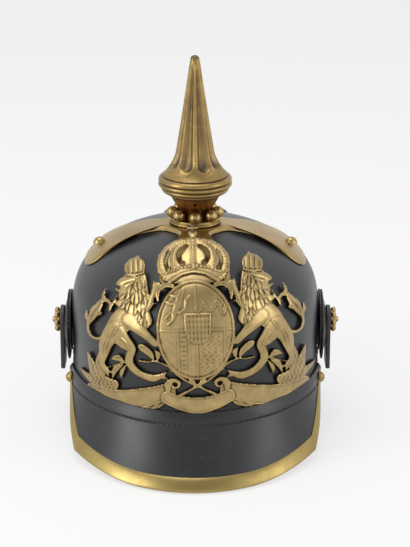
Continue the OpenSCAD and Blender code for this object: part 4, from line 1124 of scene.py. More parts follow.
# Collar, pearls and neck
# A flat turned collar covers the join of base and neck. Eight brass pearls stand on it in a ring. The neck
# is a flared tube of redder brass, with air holes under the spike.
collar_r = 18.5 * MM
collar_z = 148.2 * MM
collar_t = 1.2 * MM
neck_foot_r = 11 * MM
neck_top_r = 17.6 * MM
neck_top_z = 166.4 * MM
neck_sheet = 0.8 * MM
neck_hole_r = 1.5 * MM
neck_holes = 5
neck_hole_out = 16.4 * MM
neck_hole_drop = 2.8 * MM
pearl_count = 8
pearl_r = 4.4 * MM
pearl_circle_r = 15.9 * MM
stem_r = 9.5 * MM

neck_brass = brass_material("neck_copper_brass", (0.38, 0.2, 0.075, 1), (0.26, 0.13, 0.046, 1),
                            (0.05, 0.022, 0.01, 1), 0.3, 0.48, 9 * MM)
low = collar_z - collar_t
profile = [(neck_foot_r, low)] + arc(collar_r - 0.45 * MM, low + 0.45 * MM, 0.45 * MM, -90, 0, 5)
profile += arc(collar_r - 0.45 * MM, collar_z - 0.45 * MM, 0.45 * MM, 0, 90, 5)
profile += [(neck_foot_r, collar_z), (neck_foot_r, low)]
collar = turned("base_collar_brass", profile)
smooth(collar, 35)
fit(collar, "helmet", base_brass, "brass", "base_collar")

def round_axis(count, first):
    """Places that stand evenly round the z axis, from the first one on."""
    return [Matrix.Rotation(math.tau * i / count, 4, "Z") @ Matrix.Translation(first) for i in range(count)]


pearl = added(bpy.ops.mesh.primitive_uv_sphere_add, segments=36, ring_count=18, radius=pearl_r)
pearls = copied(pearl, round_axis(pearl_count, (0, -pearl_circle_r, collar_z + pearl_r + 0.9 * MM)))
seat = turned("pearl_seat", [(neck_foot_r + 0.05 * MM, collar_z), (pearl_circle_r + 1.3 * MM, collar_z)]
              + arc(pearl_circle_r + 0.9 * MM, collar_z + 1.6 * MM, 0.4 * MM, 0, 90, 4)
              + [(neck_foot_r + 0.05 * MM, collar_z + 2 * MM), (neck_foot_r + 0.05 * MM, collar_z)])
pearl_ring = joined("pearl_ring_brass", pearls + [seat])
smooth(pearl_ring, 45)
fit(pearl_ring, "helmet", base_brass, "brass", "pearl_ring")

neck_outer = flowing([(neck_foot_r - 0.05 * MM, low - 0.6 * MM), (neck_foot_r - 0.05 * MM, collar_z),
                      (neck_foot_r, collar_z + 6 * MM), (neck_foot_r + 3.6 * MM, collar_z + 12.9 * MM),
                      (neck_top_r, neck_top_z)], 5)
neck_inner = neck_outer[::-1] - np.array([neck_sheet, 0])
neck_loop = np.concatenate([neck_outer, neck_inner, neck_outer[:1]])
neck = turned("spike_neck_brass", [tuple(point) for point in neck_loop], 120)
for i in range(neck_holes):
    turn = math.tau * i / neck_holes
    across = neck_hole_out * math.sin(turn)
    along = -neck_hole_out * math.cos(turn)
    cut(neck, added(bpy.ops.mesh.primitive_cylinder_add, vertices=28, radius=neck_hole_r, depth=10 * MM,
                    location=(across, along, neck_top_z - neck_hole_drop), rotation=(math.pi / 2, 0, turn)))
smooth(neck, 40)
fit(neck, "helmet", neck_brass, "copper_brass", "spike_neck")


# Screwed ring of the neck and the washer under the spike
# A turned brass ring is soldered into the neck's mouth and takes the spike's stem. A fibre washer lies
# between it and the spike.
stem_gap = 0.1 * MM
bore = stem_r + stem_gap
ring_top_r = neck_top_r - neck_sheet - 0.3 * MM
screw_ring = turned("neck_screw_ring_brass", [
    (bore + 0.3 * MM, neck_top_z - 7.4 * MM), (stem_r + 1.6 * MM, neck_top_z - 7.4 * MM),
    (stem_r + 1.6 * MM, neck_top_z - 1.6 * MM), (ring_top_r - 0.6 * MM, neck_top_z - 1.4 * MM),
    (ring_top_r, neck_top_z), (bore + 0.5 * MM, neck_top_z), (bore, neck_top_z - 0.5 * MM),
    (bore, neck_top_z - 7.1 * MM), (bore + 0.3 * MM, neck_top_z - 7.4 * MM)])
smooth(screw_ring, 35)
fit(screw_ring, "helmet", base_brass, "brass", "neck_screw_ring")

fibre = speckled("red_fibre", 700.0, 4.0, (0.06, 0.03, 0.02, 1), (0.12, 0.06, 0.04, 1), 0.7)[0]
washer_t = 0.8 * MM
spike_foot = neck_top_z + washer_t
washer_r = neck_top_r - 0.3 * MM
washer = turned("spike_washer_fibre", [(bore, neck_top_z), (washer_r - 0.15 * MM, neck_top_z)]
                + arc(washer_r - 0.3 * MM, neck_top_z + washer_t / 2, 0.3 * MM, -60, 60, 5)
                + [(washer_r - 0.15 * MM, spike_foot), (bore, spike_foot), (bore, neck_top_z)])
smooth(washer, 40)
fit(washer, "spike_washer", fibre, "fibre", "spike_washer")


# Spike
# The spike is cast and turned brass. Its collar has three rounded mouldings, and eight flutes with round
# feet run up the point between narrow raised ridges. A screwed stem fits the neck.
tip_z = 266.5 * MM
flutes = 8
spike_collar_r = 26.1 * MM
flute_depth = 0.19
stem_length = 9 * MM
collar_top = spike_foot + 14.3 * MM
slim_r = 16.6 * MM
tip_r = 2.9 * MM
flare = 6.6 * MM
flare_share = 0.2
flute_foot = collar_top + 4.6 * MM
ridge_height = 0.2 * MM
ridge_half = 0.55 * MM

# Its dirt colour also serves as a painted grey sheen in the round feet of the flutes.
spike_brass = brass_material("spike_brass", (0.38, 0.265, 0.1, 1), (0.26, 0.17, 0.066, 1),
                             (0.1, 0.08, 0.058, 1), 0.3, 0.46, 15 * MM, "hollow")


def ridge_r(z):
    """Radius of the spike's ridges at a height."""
    u = np.clip((z - collar_top) / (tip_z - tip_r / 2 - collar_top), 0, 1)
    return slim_r + (tip_r - slim_r) * u ** 0.88 + flare * np.maximum(0, 1 - u / flare_share) ** 2


def mark_hollows(piece, shares):
    """Notes how far each point of a piece's brass darkens towards its dirt colour; on the spike this also
    holds a painted grey sheen at the flutes' feet.
    """
    noted = piece.data.attributes.new("hollow", "FLOAT", "POINT")
    noted.data.foreach_set("value", np.clip(shares, 0, 1).astype(np.float32))


foot = spike_foot
profile = [(stem_r - 1.5 * MM, foot - stem_length), (stem_r - 0.4 * MM, foot - stem_length),
           (stem_r, foot - stem_length + 0.5 * MM), (stem_r, foot - 0.02 * MM), (neck_top_r + 0.4 * MM, foot)]
profile += arc(neck_top_r + 0.8 * MM, foot + 1.3 * MM, 1.3 * MM, -80, 50, 8)
profile += [(spike_collar_r - 5.6 * MM, foot + 2.6 * MM)]
profile += arc(spike_collar_r - 4.2 * MM, foot + 4.3 * MM, 2 * MM, -60, 35, 8)
profile += [(spike_collar_r - 2.3 * MM, foot + 5.9 * MM)]
profile += arc(spike_collar_r - 1.9 * MM, foot + 7.9 * MM, 1.9 * MM, -75, 70, 12)
profile += [(spike_collar_r - 0.75 * MM, foot + 10.05 * MM)]
profile += arc(spike_collar_r - 2.6 * MM, foot + 10.9 * MM, 2.4 * MM, -12, 68, 10)
profile += [(float(ridge_r(collar_top)) - 0.5 * MM, collar_top - 0.5 * MM)]
point_levels = np.concatenate([np.linspace(collar_top, flute_foot + 14 * MM, 40),
                               np.linspace(flute_foot + 14 * MM, tip_z - 12 * MM, 40)[1:],
                               np.linspace(tip_z - 12 * MM, tip_z - 3 * MM, 16)[1:]])
profile += [(float(ridge_r(z)), float(z)) for z in point_levels]
top_r = float(ridge_r(tip_z - 3 * MM))
profile += [(top_r * share, tip_z - below * MM)
            for share, below in ((1.03, 2.4), (0.93, 1.5), (0.7, 0.65), (0.38, 0.14), (0, 0))]
profile += [(0, foot + 20 * MM), (stem_r - 1.5 * MM, foot + 18 * MM), profile[0]]
spike = turned("spike_brass", profile, 256)
positions = points_of(spike)
around = np.arctan2(positions[:, 0], -positions[:, 1])
radius = np.hypot(positions[:, 0], positions[:, 1])
height = positions[:, 2]
off_ridge = np.abs((around * flutes / math.tau + 0.5) % 1 - 0.5) * 2
arch = flute_foot + 7.5 * MM * (1 - np.sqrt(np.clip(1 - (1 - off_ridge) ** 2, 0, 1)))
gone_in = eased((height - arch) / (2.6 * MM)) * (1 - eased((height - tip_z + 12 * MM) / (7 * MM)))
to_ridge = off_ridge * math.pi * radius / flutes
flute_half = math.pi * np.maximum(radius, MM) / flutes
hollow = eased((to_ridge - ridge_half) / (0.72 * flute_half)) ** 0.85 * gone_in
raised = ridge_height * (1 - eased((to_ridge - ridge_half / 2) / ridge_half))
raised *= eased((height - flute_foot) / (5 * MM))
raised *= 1 - eased((height - tip_z + 8 * MM) / (6 * MM))
arch_edge = ridge_height * np.exp(-((height - arch + 0.4 * MM) / (0.9 * MM)) ** 2)
is_face = (height > collar_top - 0.1 * MM) & (radius > 0.55 * ridge_r(height)) & (height < tip_z - 2.6 * MM)
grown = np.where(is_face, -radius * flute_depth * hollow + raised + arch_edge * (height < tip_z - 30 * MM), 0)
scale = np.where(radius > 0, (radius + grown) / np.maximum(radius, 1e-9), 1)
positions[:, :2] *= scale[:, None]
put_points(spike, positions)
# Painted sheen: the round feet of the flutes are darkened to grey-brown in place of the grey sheen that shows
# there.
painted_foot_sheen = np.exp(-((height - arch - 3.5 * MM) / (3.5 * MM)) ** 2) * hollow
grooves = sum(np.exp(-((height - foot - level * MM) / (0.5 * MM)) ** 2) for level in (2.6, 5.9, 10.05, 14.0))
tip_dark = eased((height - tip_z + 3.2 * MM) / (1.6 * MM))
# The brass darkens in the flutes, in the collar's grooves and at the tip, and most at the flutes' feet, where
# it is a painted sheen.
mark_hollows(spike, 0.5 * hollow + 0.4 * painted_foot_sheen + 0.8 * grooves + 0.7 * tip_dark)
tidy_mesh(spike)
smooth(spike, 42)
fit(spike, "spike", spike_brass, "brass", "spike")


# Helmet plate
# One sheet of brass, pressed over a die into a crowned shield between two lions on a ribbon, then pierced.
# It was pressed flat and bent round the skull, and stands off a little where its crown covers the base. Its
# sizes and its drawing are in millimetres.
plate_sheet = 0.8
plate_relief = 1.6
plate_tilt = math.radians(2)
shield_z = 103
shield_middle = 0.7
sight_tilt = math.radians(20.8)
sight_distance = 1250
sight_reach = (25, -105)
plate_gap = 1
crown_gap = 10
crown_foot = 112
crown_slope = 30
plate_cell = 0.5
drawing_left = -80
drawing_low = -60
drawing_columns = 321
drawing_rows = 267

plate_brass = brass_material("plate_brass", (0.5, 0.37, 0.165, 1), (0.33, 0.24, 0.11, 1),
                             (0.085, 0.055, 0.026, 1), 0.28, 0.46, 12 * MM, "hollow")


def stroke(at, points, steps=4):
    """Field of a tapering stroke through points (x, y, radius): positive inside, in millimetres."""
    line = flowing(points, steps) if len(points) > 2 else np.array(points, float)
    best = np.full(len(at), -99.0)
    for start, end in zip(line, line[1:]):
        run = end[:2] - start[:2]
        off = at - start[:2]
        share = np.clip(off @ run / max(run @ run, 1e-9), 0, 1)
        gap = np.linalg.norm(off - share[:, None] * run, axis=1)
        best = np.maximum(best, start[2] + (end[2] - start[2]) * share - gap)
    return best


def patch(at, corners):
    """Field of a patch with straight sides."""
    corners = np.asarray(corners, float)
    best = np.full(len(at), 99.0)
    inside = np.zeros(len(at), bool)
    for start, end in zip(corners, np.roll(corners, -1, axis=0)):
        run = end - start
        off = at - start
        share = np.clip(off @ run / max(run @ run, 1e-9), 0, 1)
        best = np.minimum(best, np.linalg.norm(off - share[:, None] * run, axis=1))
        level = (start[1] > at[:, 1]) != (end[1] > at[:, 1])
        rise = end[1] - start[1] if end[1] != start[1] else 1e-9
        inside ^= level & (at[:, 0] < start[0] + run[0] * (at[:, 1] - start[1]) / rise)
    return np.where(inside, best, -best)


def oval(at, half_width, half_height, x=0, y=0):
    """Field of an oval."""
    px, py = (at[:, 0] - x) / half_width, (at[:, 1] - y) / half_height
    out = np.maximum(np.hypot(px, py), 1e-6)
    return (1 - out) * out / np.maximum(np.hypot(px / half_width, py / half_height), 1e-6)


def swelled(field, width, height):
    """Relief with rounded shoulders: it rises over a width from the edge of a field to its height."""
    share = np.clip(field / width, 0, 1)
    return height * np.sqrt(1 - (1 - share) ** 2)


def bead_row(at, points, pitch, radius, height):
    """A row of round beads along a line."""
    line = flowing([(x, y) for x, y in points], 8) if len(points) > 2 else np.array(points, float)
    gone = np.concatenate([[0], np.cumsum(np.linalg.norm(np.diff(line, axis=0), axis=1))])
    best = np.full(len(at), -99.0)
    for along in np.arange(pitch / 2, gone[-1], pitch):
        centre = [np.interp(along, gone, line[:, k]) for k in range(2)]
        best = np.maximum(best, radius - np.linalg.norm(at - centre, axis=1))
    return swelled(best, radius, height)


shield_half_width = 26.6
shield_half_height = 33.6
curl_middle = (15.6, -35.7)
curl_hole_r = 1.1
crown_edge = [(-15.3, 31.5), (-20.5, 33.6), (-24.1, 39.2), (-24.6, 45), (-23.4, 50.5), (-19, 56), (-12.5, 60),
              (-5, 62), (0, 62.6), (5, 62), (12.5, 60), (19, 56), (23.4, 50.5), (24.6, 45), (24.1, 39.2),
              (20.5, 33.6), (15.3, 31.5), (7.5, 36.6), (0, 38), (-7.5, 36.6)]
under_crown = [(-15.3, 31.5), (-7.5, 37), (0, 38.4), (7.5, 37), (15.3, 31.5), (0, 30)]
outer_slit = [(16.2, 52.4, 0.9), (18.4, 47.5, 1.0), (18.0, 43, 1.1), (16.9, 41.2, 1.7)]
inner_slit = [(3.9, 56.5, 0.8), (8, 53.2, 1.5), (9.6, 49.4, 1.5), (8.6, 45.8, 1.3), (7.2, 44.6, 1.7)]
lion_crown = [(32.6, 39.5), (31.6, 44.2), (32.6, 47.4), (35.2, 49.6), (36.7, 51.4), (38.4, 50.2),
              (42.5, 48.8), (46, 45.2), (46.4, 41.5), (44.6, 38)]
lion_body = [
    [(39, 37, 7.2), (40.2, 29, 9.4), (41, 20, 10.4), (42, 13, 9)],
    [(43, 13, 8), (49, 7.6, 8.2), (53.6, 2.6, 6.8)],
    [(37.4, 17, 6), (36.4, 9.6, 5), (35, 4.6, 3.4)],
]
lion_fur = [
    [(43, 34.6, 4.4), (47.4, 33.4, 3.2), (50.4, 32.6, 1.6)],
    [(43, 29.4, 3.4), (48.6, 27.4, 1.6), (52.6, 29.2, 0.5)],
    [(44, 23, 4), (50.8, 19.6, 2.2), (53.4, 22, 0.5)],
    [(31.6, 22, 3), (29.3, 18.4, 1.6), (26.6, 18.6, 0.5)],
    [(32.4, 12, 2.6), (30.4, 6.6, 1.8), (31.8, 2.6, 0.5)],
]
lion_legs = [
    [(34.5, 16, 4.2), (30.6, 17.6, 2.6), (28.4, 23, 1.9), (25.6, 29.4, 2.5), (24.7, 31.2, 1.7)],
    [(45, 8.6, 5.4), (38, 2.4, 4.3), (32, -3.4, 3), (27.6, -7.8, 2.6), (24.6, -8.6, 1.5)],
    [(54.6, 1.6, 6.6), (59.5, -5.6, 5.2), (61.6, -13, 3.5), (63.2, -19, 2.4), (62.4, -23, 2.5),
     (59.4, -25.2, 1.4)],
    [(52.8, 0, 6.4), (47.6, -6.4, 4.8), (43.2, -11.4, 3.2), (45.2, -18.6, 2.9), (42, -24.6, 2.6),
     (36.2, -29, 2.5), (29, -31.2, 2.8), (23.4, -29.8, 2.0)],
]
lion_tail = [(59, -1.5, 1.8), (65.6, -3.4, 1.2), (70.6, 0, 1.1), (71.4, 6.2, 1.2), (67.6, 11.4, 1.2),
             (63, 13.4, 1.3)]
tail_ring = [(63.4, 14, 1.3), (64.4, 18.6, 1.4), (60.6, 22.4, 1.5), (56.4, 19.8, 1.3), (56.8, 15.2, 1.1)]
tail_tuft = [
    [(60.2, 22, 1.5), (60.6, 25.6, 1.3), (59, 29.6, 0.5)],
    [(69.4, 9, 1.7), (72.6, 11.6, 1.3), (72.2, 15.4, 0.5)],
    [(56.6, 17, 1.3), (54, 20.4, 0.9), (51.6, 24.8, 0.5)],
    [(66.4, 12, 1.7), (68.4, 15.6, 1.2), (67.6, 18.4, 0.5)],
    [(70.6, 8.6, 2.2), (67.4, 13.6, 3.4), (63.8, 18.6, 2.6), (61.6, 22.4, 1.2)],
]
claws = [
    [(24.7, 31.2, 1.4), (23, 32.4, 0.6)], [(26.6, 30.4, 1.4), (26.8, 33.2, 0.6)],
    [(24.2, 28.6, 1.3), (22.4, 28.4, 0.6)],
    [(25, -8.2, 1.4), (22.6, -6.6, 0.6)], [(24.6, -9.2, 1.3), (22.6, -10.6, 0.6)],
    [(22.8, -29.2, 1.7), (20.6, -27.6, 0.7)], [(22.8, -30.6, 1.6), (20.2, -31.6, 0.7)],
    [(59, -25.4, 1.4), (56.2, -26.2, 0.6)], [(60.4, -26, 1.2), (58.8, -28.4, 0.6)],
]
branch = [(1.3, -37, 0.9), (8, -33.4, 0.9), (15.5, -27.8, 0.8), (21, -22.6, 0.8), (27.4, -20, 0.8),
          (33, -20.2, 0.8), (38.3, -19.2, 0.8)]
leaves = [
    [(28.4, -19.4, 0.6), (31, -14.6, 2.3), (36, -10.6, 2.5), (38.6, -9, 0.6)],
    [(26.4, -19.8, 0.6), (25.6, -15.8, 1.9), (27.6, -12.4, 0.6)],
    [(48.4, -19.6, 0.7), (52.6, -16.6, 2.4), (56.8, -17.4, 0.6)],
    [(49.4, -21.4, 0.7), (54.2, -24.2, 2.2), (56.4, -30, 0.6)],
    [(47.4, -22, 0.7), (50.2, -26.4, 1.7), (50.4, -30.2, 0.5)],
]
twig = [(45.4, -20, 0.9), (49.6, -20, 0.7), (55, -21.6, 0.6), (60.4, -23, 0.8)]
ground = [
    [(56, -34.6, 3.8), (61.6, -33.4, 4.8), (66.4, -29, 4.6), (69.4, -22, 2.8), (72.2, -12.6, 0.8)],
    [(64, -27, 3), (65.4, -19, 2.4), (64.4, -12.6, 0.8)],
    [(67, -33.4, 2.8), (73, -28, 2), (78, -22.6, 0.6)],
]
strands = [[(4.6, -33, 1.4), (0, -37.4, 1.3)], [(0, -37.4, 1.3), (5.6, -40.2, 1.1), (12, -43.4, 1.3)]]
side_ribbon = [(19.6, -39.6, 5.3), (28, -42.2, 6.2), (38.4, -44.2, 7), (48, -44.2, 6.5), (57.5, -42.8, 5.6),
               (66, -39.4, 4.6), (71.4, -35.6, 3.2)]
back_fold = [(21.4, -46.4, 1.2), (27.6, -48.6, 3.1), (35.4, -49, 3.5)]
middle_ribbon = [(-20.2, -44.6, 4.7), (-12, -48.2, 5.1), (0, -50.4, 5.9), (12, -48.2, 5.1),
                 (20.2, -44.6, 4.7)]
ribbon_curl = [(19.8, -40, 1.6), (19.4, -35.2, 2.6), (15.6, -33.2, 1.8), (12.2, -34.8, 1.5), (13, -37.8, 1.2),
               (16, -38, 1.0)]
corner_scroll = [(14.4, 29.8, 1.7), (18.4, 30.6, 1.9), (22.6, 28.6, 1.8), (24.6, 24.6, 1.6),
                 (24.4, 20.4, 1.1)]
scroll_leaf = [(21.4, 29, 2), (25.4, 31.4, 1.4), (27.6, 31, 0.6)]


def best_of(at, strokes, steps=4):
    """Field of several strokes together."""
    return np.max([stroke(at, points, steps) for points in strokes], axis=0)


def mirrored(at):
    """Points as the right-hand drawing sees them, for both sides."""
    return np.stack((np.abs(at[:, 0]), at[:, 1]), axis=1)


def shield_field(at):
    """Field of the oval shield."""
    return oval(at, shield_half_width, shield_half_height)


def crown_field(at, half):
    """Field of the large crown, without its open slits."""
    return np.minimum(patch(at, crown_edge), -best_of(half, [outer_slit, inner_slit]))


def orb_fields(at, half):
    """Fields of the orb on the crown and of its cross."""
    upright = stroke(at, [(0, 66, 1.2), (0, 70, 1.5)])
    return oval(at, 3, 2.9, 0, 64.4), np.maximum(upright, stroke(half, [(0, 68.4, 1.1), (2.8, 68.4, 1.3)]))


def tail_field(half):
    """Field of a lion's tail and tuft."""
    return best_of(half, [lion_tail, tail_ring] + tail_tuft)


def sheet_field(at):
    """Field of the pierced sheet: positive where there is brass."""
    half = mirrored(at)
    lion = best_of(half, lion_body + lion_fur + lion_legs + claws)
    plants = best_of(half, [branch, twig] + leaves + ground)
    bands = best_of(half, [side_ribbon, back_fold, ribbon_curl, corner_scroll, scroll_leaf])
    curl_hole = np.linalg.norm(half - curl_middle, axis=1) - curl_hole_r
    ribbon = np.minimum(np.maximum(bands, stroke(at, middle_ribbon)), curl_hole)
    link = np.maximum(best_of(half, strands), patch(at, under_crown))
    return np.maximum.reduce([crown_field(at, half), *orb_fields(at, half), shield_field(at), lion,
                              patch(half, lion_crown), tail_field(half), plants, ribbon, link])


def wisps(at, roots, height):
    """Locks of hair: narrow ridges with pointed ends."""
    return swelled(best_of(at, roots, 3), 0.75, height)


mane = [
    [(x, y, 0.5), (x + dx * 0.45 + bend, y + dy * 0.5, 1.2), (x + dx, y + dy, 0.3)] for x, y, dx, dy, bend in (
    (35.4, 36, -1.6, -6.5, -0.9), (38.6, 34, -0.6, -7, 0.9), (42, 31.6, 1.6, -6.4, 0.9),
    (33.6, 30, -1.2, -6.5, 0.9), (37, 27.4, -0.6, -7.6, -0.9), (40.4, 25.6, 0.6, -7, 0.9),
    (44, 27, 2.4, -6, -0.8), (33.4, 23, -0.4, -6.6, -0.8), (36.4, 19.6, 0, -7.4, 0.9),
    (39.8, 18, 1, -7.2, -0.9), (43.4, 20, 2.2, -6.6, 0.9), (47, 19.8, 3, -4.6, -0.6),
    (33.8, 15.2, 0.4, -6, 0.8), (37.2, 11.6, 1.4, -5.2, -0.8), (46.6, 25, 3.2, -3.4, 0.6),
    (35.2, 8.6, 0.6, -4.6, 0.6))]
tail_hair = [
    [(69.4, 8.6, 0.4), (66, 13.6, 0.9), (62.6, 18.6, 0.3)],
    [(71.2, 10.6, 0.3), (68.4, 15.4, 0.8), (64.8, 19.6, 0.3)],
]
leg_lines = [
    [(36, 3.4, 0.5), (32, -0.4, 0.6), (29, -4, 0.3)],
    [(57, -1, 0.4), (60.4, -8, 0.7), (61, -14, 0.3)],
    [(50, -3.4, 0.4), (46, -8, 0.7), (44, -13, 0.3)],
    [(50, 5.4, 0.4), (53.6, 1.4, 0.7), (56.6, -3, 0.3)],
]
rampant_lion = [
    [(-7.6, 27.6, 1.2), (-9.6, 24, 2), (-11, 19.4, 2.1), (-12.6, 14.6, 2.2), (-14.4, 10.6, 1.6)],
    [(-10, 23, 1.2), (-14, 22.6, 0.8), (-16.6, 24.6, 0.9)],
    [(-11.4, 19, 1.1), (-16, 17.6, 0.8), (-19, 19.4, 0.8)],
    [(-12.8, 13, 1.3), (-17, 11.6, 0.9), (-19.6, 8.6, 0.9)],
    [(-13.6, 11.6, 1.3), (-15, 7.4, 0.9), (-18, 4.4, 0.9)],
    [(-10.6, 12, 0.8), (-6.6, 14.6, 0.7), (-6, 20, 0.8), (-3.6, 22.6, 0.7)],
]
zigzag = [(2, 12.3), (5.7, 17.7), (10.2, 13.1), (14.8, 18.4), (18.6, 10.8), (20.9, 16.9)]
heart_shield = [(-6.9, 10.8), (10.2, 10.8), (10.2, -2), (8.6, -6), (5.4, -8.6), (1.6, -9.4), (-2.2, -8.6),
                (-5.4, -6), (-6.9, -2)]


def shield_relief(at):
    """Relief of the shield over the sheet: its rim, quarters and heart shield, with their raised figures."""
    edge = shield_field(at)
    rise = 0.3 + 0.75 * np.clip(edge / 26, 0, 1) ** 0.6
    rise = rise + 0.6 * np.exp(-((edge - 1) / 0.7) ** 2) - 0.16 * np.exp(-((edge - 2.5) / 0.5) ** 2)
    x, y = at[:, 0] - 0.6, at[:, 1]
    inside = eased((edge - 1.6) / 0.8)
    heart = patch(at, heart_shield)
    outside_heart = eased(-heart / 0.6)
    lines = 0.3 * np.exp(-(x / 0.42) ** 2) * (y < 31) + 0.3 * np.exp(-(y / 0.42) ** 2)
    for line_x in (-12.6, -5.1, 18.6):
        lines = lines + 0.24 * np.exp(-((x - line_x) / 0.4) ** 2) * (y < 0) * (y > -31)
    zig = np.max([stroke(at, [(*start, 0.5), (*end, 0.5)]) for start, end in zip(zigzag, zigzag[1:])], axis=0)
    figures = 0.34 * np.exp(-((zig + 0.2) / 0.32) ** 2) - 0.2 * np.exp(-((zig + 1.1) / 0.4) ** 2)
    figures = figures + swelled(best_of(at, rampant_lion), 1.1, 0.62)
    billets = (np.abs(x + 8.8) < 2.2) * (y < -1) * (y > -27) * (0.5 + 0.5 * np.cos(y * math.tau / 3.1))
    ripples = np.sin(x * 1.5 + 1.6 * np.sin(y * 0.9)) * np.cos(y * 1.25)
    waves = (x > 1.5) * (x < 17) * (y < -2) * (0.5 + 0.5 * ripples)
    tracery = (x > 19.4) * (y < -2) * (0.5 + 0.5 * np.cos(x * 2.1) * np.cos(y * 1.7))
    stripes = (x < -14) * (y < -2) * (0.5 + 0.5 * np.cos((x + y) * 1.1)) * 0.4
    figures = figures + 0.3 * (billets + tracery + stripes) + 0.36 * waves * eased((y + 30) / 4)
    rise = rise + inside * outside_heart * (lines + figures)
    lozenges = np.cos((at[:, 0] * 1.25 + at[:, 1] * 0.8)) * np.cos((at[:, 0] * 1.25 - at[:, 1] * 0.8))
    rise = rise + eased(heart / 0.5) * (0.28 + 0.2 * lozenges * eased((heart - 0.9) / 0.5))
    return rise + 0.42 * np.exp(-((heart - 0.35) / 0.45) ** 2)


def crown_relief(at, half):
    """Relief of the large crown: domed caps between beaded arches, over a band with a smooth lower roll."""
    field = crown_field(at, half)
    rise = swelled(field, 3.2, 1.0)
    arches = [[(0, 40.4), (0, 47), (0, 55), (0, 61.4)], [(12.6, 41), (13.4, 48), (11, 55), (4, 60.6)],
              [(21, 39.6), (22.2, 46), (19.6, 52.4), (13.6, 57.6), (7, 60.6)]]
    for arch in arches:
        rise = rise + swelled(stroke(half, [(x, y, 1.9) for x, y in arch]), 1.9, 0.3)
        rise = np.maximum(rise, bead_row(half, arch, 2.1, 0.95, 0.9) + 1.0 * (field > 0.3))
    band = stroke(at, [(-15.6, 33, 1.2), (-8, 37.3, 1.2), (0, 38.8, 1.2), (8, 37.3, 1.2), (15.6, 33, 1.2)])
    jewels = bead_row(at, [(-19, 38.4), (-10, 41.6), (0, 42.8), (10, 41.6), (19, 38.4)], 2.6, 1.05, 0.8)
    fringe = bead_row(half, [(17.4, 33.6), (21.6, 36.8), (23.6, 41.6), (23.4, 48)], 2.0, 0.9, 0.8)
    rise = np.maximum.reduce([rise, swelled(band, 1.2, 0.9) + 0.75, jewels + 0.95, fringe + 0.7])
    return np.where(field > 0, rise, 0)


def ribbon_relief(at, half):
    """Relief of the ribbon: wavy bands with raised edges, folds behind and curls at the middle."""
    side = stroke(half, side_ribbon)
    rise = swelled(side, 1.0, 0.55) + 0.34 * np.exp(-((side - 0.7) / 0.5) ** 2)
    dip = 0.16 * np.cos(half[:, 0] * 0.42) * eased(side / 2)
    rise = np.where(side > 0, rise + dip, 0)
    fold = stroke(half, back_fold)
    pleats = 0.16 * np.cos((half[:, 0] + half[:, 1]) * 1.5)
    rise = np.where((fold > 0) & (side < 0.2), swelled(fold, 0.9, 0.4) + pleats + 0.1, rise)
    middle = stroke(at, middle_ribbon)
    flat = swelled(middle, 1.0, 0.95) + 0.36 * np.exp(-((middle - 0.7) / 0.5) ** 2)
    rise = np.where(middle > 0, np.maximum(rise, flat), rise)
    curl = stroke(half, ribbon_curl)
    return np.maximum(rise, np.where(curl > 0, swelled(curl, 1.1, 1.35), 0))


def lion_relief(half):
    """Relief of a lion: rounded limbs, a mane of locks, a small crown and a tufted tail."""
    rise = np.maximum.reduce([
        swelled(best_of(half, lion_body), 6, 0.9), swelled(best_of(half, lion_fur), 1.6, 0.75),
        swelled(best_of(half, lion_legs), 3, 1.2), swelled(best_of(half, claws), 0.9, 0.8),
        swelled(tail_field(half), 1.2, 0.95)])
    locks = wisps(half, mane, 0.75) + wisps(half, leg_lines + tail_hair, 0.4)
    rise = np.where(rise > 0.4, rise + locks, rise)
    chin = swelled(best_of(half, [[(40, 36.4, 1.6), (44.6, 35.4, 1.5), (49, 33.4, 1.1)],
                                  [(41.6, 33, 1.1), (46, 31.4, 0.8)]]), 1.2, 0.4)
    crown = patch(half, lion_crown)
    capped = swelled(crown, 2, 1.15) + 0.2 * np.cos((half[:, 0] - 39) * 1.9) * (crown > 0.8)
    rim = bead_row(half, [(32.8, 39.6), (38.6, 38.4), (44.6, 38.6)], 1.5, 0.8, 0.55)
    rise = np.where(crown > 0, np.maximum(rise, capped), rise) + chin
    return np.maximum(rise, np.where(rim > 0, rim + 1.1, 0))


def plate_relief_at(at):
    """Height of the whole relief over the sheet, in millimetres."""
    half = mirrored(at)
    plants = np.maximum(swelled(best_of(half, [branch, twig] + strands), 0.8, 0.8),
                        swelled(patch(at, under_crown), 1.8, 0.5))
    leaf = best_of(half, leaves)
    leaf_rise = swelled(leaf, 1.3, 0.85) - 0.25 * np.exp(-((leaf - 2) / 0.4) ** 2)
    earth = best_of(half, ground)
    stipple = 0.26 * np.sin(half[:, 0] * 2.4 + 1.5 * np.sin(half[:, 1] * 1.3)) * np.cos(half[:, 1] * 2.2)
    earth_rise = np.where(earth > 0, swelled(earth, 2.2, 0.8) + stipple * eased(earth / 1.2), 0)
    scroll = best_of(half, [corner_scroll, scroll_leaf])
    scroll_rise = swelled(scroll, 1.2, 1.1) - 0.3 * np.exp(-((scroll - 1.6) / 0.35) ** 2) * (scroll > 0)
    orb, cross = orb_fields(at, half)
    rise = np.maximum.reduce([plants, leaf_rise, earth_rise, scroll_rise, swelled(orb, 2.9, 1.5),
                              swelled(cross, 1.2, 1.0), lion_relief(half), ribbon_relief(at, half),
                              crown_relief(at, half)])
    shield = shield_field(at)
    rise = np.where(shield > 0, np.maximum(shield_relief(at), rise * (shield < 1.2)), rise)
    return np.clip(rise, 0, plate_relief)


def stand_off(z, grown):
    """How far the plate's back stands off the skull, at a height of the skull grown by this much."""
    widest = widest_z / MM
    own_z = widest + (z - widest) * dome_rise / (dome_rise + grown * MM)
    return plate_gap + crown_gap * np.maximum(0, (own_z - crown_foot) / crown_slope) ** 1.5


